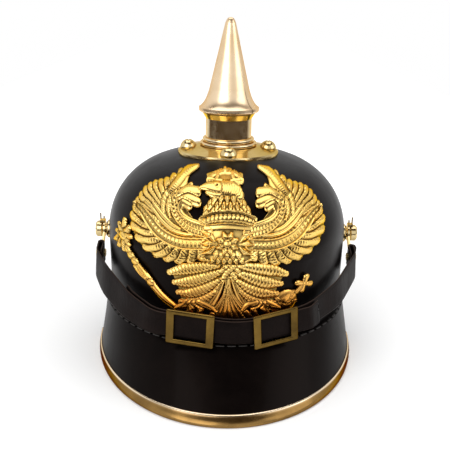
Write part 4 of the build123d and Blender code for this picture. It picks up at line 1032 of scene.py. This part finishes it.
def buckle_frame():
    """Frame with rounded outer corners and a softly crowned section: each row of points joins a place on
    the outer outline to its place on the opening, u = outer + share * (inner - outer)."""
    half = np.array([BUCKLE_HALF_WIDTH, BUCKLE_HALF_HEIGHT])
    arc = np.linspace(0, np.pi / 2, 6)
    outer, inner = [], []
    for k, signs in enumerate(((1, 1), (-1, 1), (-1, -1), (1, -1))):
        bend = BUCKLE_CORNER * circle(arc + k * np.pi / 2)
        outer.append(signs * (half - BUCKLE_CORNER) + bend)
        inner.append(signs * (half - (BUCKLE_SIDE_BAR, BUCKLE_TOP_BAR)) + OPENING_CORNER_SHARE * bend)
    outer, inner = np.vstack(outer), np.vstack(inner)
    place, level = soft_loop(20, 0.42).T
    crown = (BUCKLE_HIGH - BUCKLE_LOW) / 2 * level - BUCKLE_CROWN * (level > 0) * place**2
    flat = outer[:, None] + (inner - outer)[:, None] * ((1 - place) / 2)[None, :, None]
    points = stacked(flat[..., 0], flat[..., 1], (BUCKLE_HIGH + BUCKLE_LOW) / 2 + crown)
    return points.reshape(-1, 3), ring_faces(*flat.shape[:2])


def soft_bar(low, high):
    """Bar with rounded edges between two corners: a rounded square is carried up and drawn in at its ends."""
    low, high = np.asarray(low, float), np.asarray(high, float)
    middle, half = (low + high) / 2, (high - low) / 2
    section = soft_loop(16, 0.35)
    level = np.array([-1, -1, -0.96, 0.96, 1, 1])[:, None]
    size = np.array([0.8, 0.9, 1, 1, 0.9, 0.8])[:, None]
    points = stacked(middle[0] + half[0] * section[:, 0] * size, middle[1] + half[1] * level,
                     middle[2] + half[2] * section[:, 1] * size)
    return points.reshape(-1, 3), tube_faces(len(level), len(section))[:, ::-1]


def dress_buckles():
    """Frame, the bar between the strap's layers and two ears stand for each buckle."""
    wide, reach, low = HIDDEN_BAR_HALF_WIDTH, HIDDEN_BAR_REACH, HIDDEN_BAR_LOW
    ear_high = (BUCKLE_LOW + BUCKLE_HIGH) / 2
    for name, x in BUCKLE_PLACES:
        points, faces = joined(
            buckle_frame(), soft_bar((-wide, -reach, low), (wide, reach, low + HIDDEN_BAR_THICKNESS)),
            soft_bar((-wide, EAR_START, low), (wide, reach, ear_high)),
            soft_bar((-wide, -reach, low), (wide, -EAR_START, ear_high)))
        middle, axes = buckle_axes(x)
        buckle = new_object("buckle_frame_" + name, middle + points @ axes, faces, BUCKLE_BRASS)
        place_piece(buckle, name + "_buckle", "fitting_brass", "buckle_" + name)


# Head band: heights and insets from the shell's surface, thickness inwards
BAND_LEVELS = [(39.2, 3.0), (41.0, 3.0), (43.2, 6.4), (68.2, 7.6), (77.2, 7.6)]
BAND_LEATHER = 1.4
# Size of the band's waves each way, and for both ends of their heights where they start and over what rise
BAND_WAVE = 0.2
BAND_WAVE_FOOT = (43.0, 10.0)
BAND_WAVE_TOP = (69.0, 8.0)
TONGUE_COUNT = 10
TONGUE_INSET = 9.0
TONGUE_LEATHER = 1.2
TONGUE_LOW = 69.0
TONGUE_ROOT_HALF_WIDTH = 22.0
TONGUE_TIP_HALF_WIDTH = 7.0
TONGUE_TIP_RADIUS = 36.0
TONGUE_HOLE_RADIUS = 2.2
TONGUE_HOLE_SETBACK = 8.0
TONGUE_STEP = 1.3
TONGUE_GRID_REACH = 23.4
# Distance from an edge over which leather thins towards it
EDGE_ROUNDING = 0.8


def thinned(leather, distance, least):
    """Half the leather's thickness, which follows a quarter circle towards an edge, root(1 - (1 - d)^2)."""
    share = np.clip(distance / EDGE_ROUNDING, 0, 1)
    return 0.5 * leather * np.sqrt(np.maximum(1 - (1 - share) ** 2, least))


def dress_sweatband():
    """Closed section carried round the oval, x = r cos t, y = 1.15 r sin t, with rounded edges and slow
    waves of a fifth of a millimetre each way between the tongues."""
    heights, insets = np.array(BAND_LEVELS).T
    z = np.linspace(heights[0], heights[-1], 30)
    slim = thinned(BAND_LEATHER, np.minimum(z - z[0], z[-1] - z), 0.09)
    middle = dome_radius(z, 0) - np.interp(z, heights, insets) - 0.5 * BAND_LEATHER
    radius = np.concatenate([middle + slim, (middle - slim)[::-1]])
    height = np.concatenate([z, z[::-1]])
    turn = np.linspace(0, 2 * np.pi, 241)[:-1, None]
    (foot, rise), (top, fall) = BAND_WAVE_FOOT, BAND_WAVE_TOP
    free = np.clip((height - foot) / rise, 0, 1) * np.clip((top - height) / fall, 0, 1)
    ring = radius + BAND_WAVE * free * (np.sin(TONGUE_COUNT * turn) - 1)
    points = oval_points(ring, turn, height)
    band = new_object("head_band", points, ring_faces(*ring.shape), LINER_LEATHER)
    place_piece(band, "helmet", "liner_leather", "sweatband")


def dome_profile(offset):
    """Run along the dome's curve from the tongues' foot to their tips, with its radius and height."""
    turn = np.linspace(0, np.pi / 2, 400)
    rise, crown = turn[(turn > 0) & (turn < SHOULDER_TURN)], turn[turn >= SHOULDER_TURN]
    wall_z = np.linspace(TONGUE_LOW, WALL_TOP_HEIGHT, 60)
    bend, top = SHOULDER_RADIUS + offset, CROWN_RADIUS + offset
    radius = np.concatenate([dome_radius(wall_z, offset), SHOULDER_INSET + bend * np.cos(rise),
                             top * np.cos(crown)])
    height = np.concatenate([wall_z, WALL_TOP_HEIGHT + bend * np.sin(rise),
                             CROWN_CENTRE + top * np.sin(crown)])
    keep = radius > TONGUE_TIP_RADIUS - 1
    radius, height = radius[keep], height[keep]
    run = np.concatenate([[0], np.cumsum(np.hypot(np.diff(radius), np.diff(height)))])
    return run, radius, height


def dress_tongues():
    """Each tongue is cut from the dome's inner offset: run along it and distance across it go to a
    direction turn + asin(across / radius); its outline tapers and has a round hole near the tip. The
    leather thins to its edges."""
    run, radius, height = dome_profile(-TONGUE_INSET - 0.5 * TONGUE_LEATHER)
    end, hole = (np.interp(-r, -radius, run) for r in
                 (TONGUE_TIP_RADIUS, TONGUE_TIP_RADIUS + TONGUE_HOLE_SETBACK))
    u, v = np.meshgrid(np.arange(-1, end + 1.5, TONGUE_STEP),
                       np.arange(-TONGUE_GRID_REACH, TONGUE_GRID_REACH + 0.1, TONGUE_STEP), indexing="ij")
    half = np.interp(-np.interp(u, run, radius), [-SHELL_HALF_WIDTH, -TONGUE_TIP_RADIUS],
                     [TONGUE_ROOT_HALF_WIDTH, TONGUE_TIP_HALF_WIDTH])
    edge = np.maximum.reduce([np.abs(v) - half, -u, u - end, TONGUE_HOLE_RADIUS - np.hypot(u - hole, v)])
    u, v, faces, touched = cut_sheet(u, v, edge, TONGUE_STEP)
    r, z, slope_r, slope_z = (np.interp(u, run, values) for values in
                              (radius, height, np.gradient(radius, run), np.gradient(height, run)))
    slim = thinned(TONGUE_LEATHER, -edge[touched], 0.06)
    tongues = []
    for i in range(TONGUE_COUNT):
        turn = 2 * np.pi * (i + 0.5) / TONGUE_COUNT + np.arcsin(v / r)
        sheets = [oval_points(r + s * slope_z, turn, z - s * slope_r) for s in (slim, -slim)]
        tongues.append((np.vstack(sheets), faces))
    piece = new_object("tongues", *joined(*tongues), LINER_LEATHER)
    place_piece(piece, "helmet", "liner_leather", "liner_tongues")


# Leather rings behind the eagle, round its two posts
WASHER_SIDE = 40.0
WASHER_HEIGHT = 112.0
WASHER_RADIUS = 4.8
WASHER_HALF_WIDTH = 2.65
WASHER_HALF_THICKNESS = 0.97
WASHER_LEVEL = -4.0


def dress_eagle_washers():
    """Leather ring with a soft section: x and z go round its post, the height off the dome follows."""
    turn = np.linspace(0, 2 * np.pi, 49)[:-1, None]
    across, level = soft_loop(24, 0.45, 0).T
    ring = WASHER_RADIUS + WASHER_HALF_WIDTH * across
    washers = []
    for side in (-WASHER_SIDE, WASHER_SIDE):
        x, z = side + ring * np.cos(turn), WASHER_HEIGHT + ring * np.sin(turn)
        height = np.broadcast_to(WASHER_LEVEL + WASHER_HALF_THICKNESS * level, x.shape)
        washers.append((dome_point(x, z, height).reshape(-1, 3), ring_faces(*x.shape)))
    rings = new_object("washers", *joined(*washers), LINER_LEATHER)
    place_piece(rings, "helmet", "liner_leather", "eagle_washers")


dress_eagle()
dress_trim()
dress_straps()
dress_buckles()
dress_sweatband()
dress_tongues()
dress_eagle_washers()


# Studio

FLOOR_REACH = 4000.0
FLOOR_SIDE = 640.0
FLOOR_FRONT = -250.0
# Distance from the object's middle in metres, then the glow there
FLOOR_GLOW_RISE = (0.12, 0.55, 0.16, 0.66)
# Level that dull surfaces get, and what gloss sees of the dark part of the room
EVEN_LEVEL = 0.5
DARK_ROOM = 0.06
DARK_ROOM_TONE = (1.0, 0.62, 0.32)
EYE_BAND_LEFT = 1.0
EYE_BAND_RIGHT = 0.85
# Camera of the photograph's view
CAMERA_PLACE = (-1.29, -569.45, 266.42)
CAMERA_DIP = radians(16.99)
CAMERA_ROLL = radians(1.12)
OBJECT_YAW = radians(0.43)
CAMERA_LENS = 60.17
SENSOR_WIDTH = 36.0


def studio_floor():
    """Pale sheet that runs far back and ends shortly before the object and beside it. A glow that
    grows away from the object lifts it to white for camera, gloss and transmission."""
    finish = Finish("studio_floor", Base_Color=(0.86, 0.86, 0.86), Roughness=0.9)
    path = finish.add("LightPath").outputs
    seen = finish.math("MAXIMUM", path["Is Camera Ray"], path["Is Glossy Ray"])
    seen = finish.math("MAXIMUM", seen, path["Is Transmission Ray"])
    away = finish.add("VectorMath", {"operation": "LENGTH"}, Vector=finish.coords).outputs["Value"]
    glow = finish.add("Emission", Color=finish.fade(away, *FLOOR_GLOW_RISE), Strength=seen)
    both = finish.add("AddShader")
    for socket, shader in zip(both.inputs, (finish.shader, glow)):
        finish.fill(socket, shader.outputs[0])
    finish.feed(finish.tree.nodes["Material Output"], Surface=both.outputs[0])
    corners = [(-FLOOR_SIDE, FLOOR_FRONT, 0), (FLOOR_SIDE, FLOOR_FRONT, 0), (FLOOR_SIDE, FLOOR_REACH, 0),
               (-FLOOR_SIDE, FLOOR_REACH, 0)]
    floor = new_object("studio_floor", corners, [(0, 1, 2, 3)], finish.material, smooth=False)


def studio_world():
    """White to the camera. Gloss sees a white wall behind the object, a band all round at eye level that
    is slightly duller on the right, and a dark warm ceiling and foreground. Dull surfaces get one even
    level."""
    world = bpy.data.worlds.new("studio_world")
    bpy.context.scene.world = world
    world.use_nodes = True
    nodes = Nodes(world.node_tree)
    side, back, up = nodes.add("SeparateXYZ", Vector=nodes.add("TexCoord").outputs["Generated"]).outputs
    path = nodes.add("LightPath").outputs
    back_wall = nodes.math("MULTIPLY", nodes.fade(back, 0.15, 0.7), nodes.fade(up, 0.9, 0.6))
    eye_band = nodes.math("MULTIPLY", nodes.fade(up, -0.14, 0.03), nodes.fade(up, 0.85, 0.55))
    eye_band = nodes.math("MULTIPLY", eye_band, nodes.fade(side, 0.9, 0.0, EYE_BAND_RIGHT, EYE_BAND_LEFT))
    gloss_view = nodes.math("MAXIMUM", nodes.math("MAXIMUM", back_wall, eye_band), DARK_ROOM)
    shiny = nodes.math("MAXIMUM", path["Is Glossy Ray"], path["Is Transmission Ray"])
    level = nodes.mix(shiny, EVEN_LEVEL, gloss_view, "FLOAT")
    dark = nodes.math("MULTIPLY", shiny, nodes.fade(gloss_view, 0.4, 0.1))
    nodes.feed(nodes.tree.nodes["Background"], Color=nodes.mix(dark, (1, 1, 1), DARK_ROOM_TONE),
               Strength=nodes.mix(path["Is Camera Ray"], level, 1.0, "FLOAT"))


def softbox(name, place, target_height, width, height, power):
    """Rectangular lamp at a place in millimetres, aimed at a height on the spike's axis."""
    light = bpy.data.lights.new(name, "AREA")
    light.shape = "RECTANGLE"
    light.size = width * MM
    light.size_y = height * MM
    light.energy = power
    lamp = bpy.data.objects.new(name, light)
    bpy.context.scene.collection.objects.link(lamp)
    place = Vector(place) * MM
    aim = (Vector((0, 0, target_height)) * MM - place).to_track_quat("-Z", "Y")
    lamp.matrix_world = Matrix.Translation(place) @ aim.to_matrix().to_4x4()


def photo_camera():
    """Camera at the photograph's place, turned back by the object's small yaw."""
    camera = bpy.data.cameras.new("photo_camera")
    camera.sensor_width = SENSOR_WIDTH
    camera.lens = CAMERA_LENS
    camera.clip_end = 50
    obj = bpy.data.objects.new("photo_camera", camera)
    bpy.context.scene.collection.objects.link(obj)
    yaw = Matrix.Rotation(-OBJECT_YAW, 4, "Z")
    tilt = Matrix.Rotation(radians(90) - CAMERA_DIP, 4, "X") @ Matrix.Rotation(CAMERA_ROLL, 4, "Z")
    obj.matrix_world = yaw @ Matrix.Translation(Vector(CAMERA_PLACE) * MM) @ tilt
    bpy.context.scene.camera = obj


studio_floor()
studio_world()
photo_camera()
softbox("left_softbox", (-620, -1000, 800), 110, 1000, 1000, 8)
softbox("right_softbox", (1150, -450, 700), 110, 900, 1000, 4.5)
softbox("top_softbox", (0, 180, 1150), 150, 1100, 800, 6)
bpy.context.scene.view_settings.view_transform = "Standard"
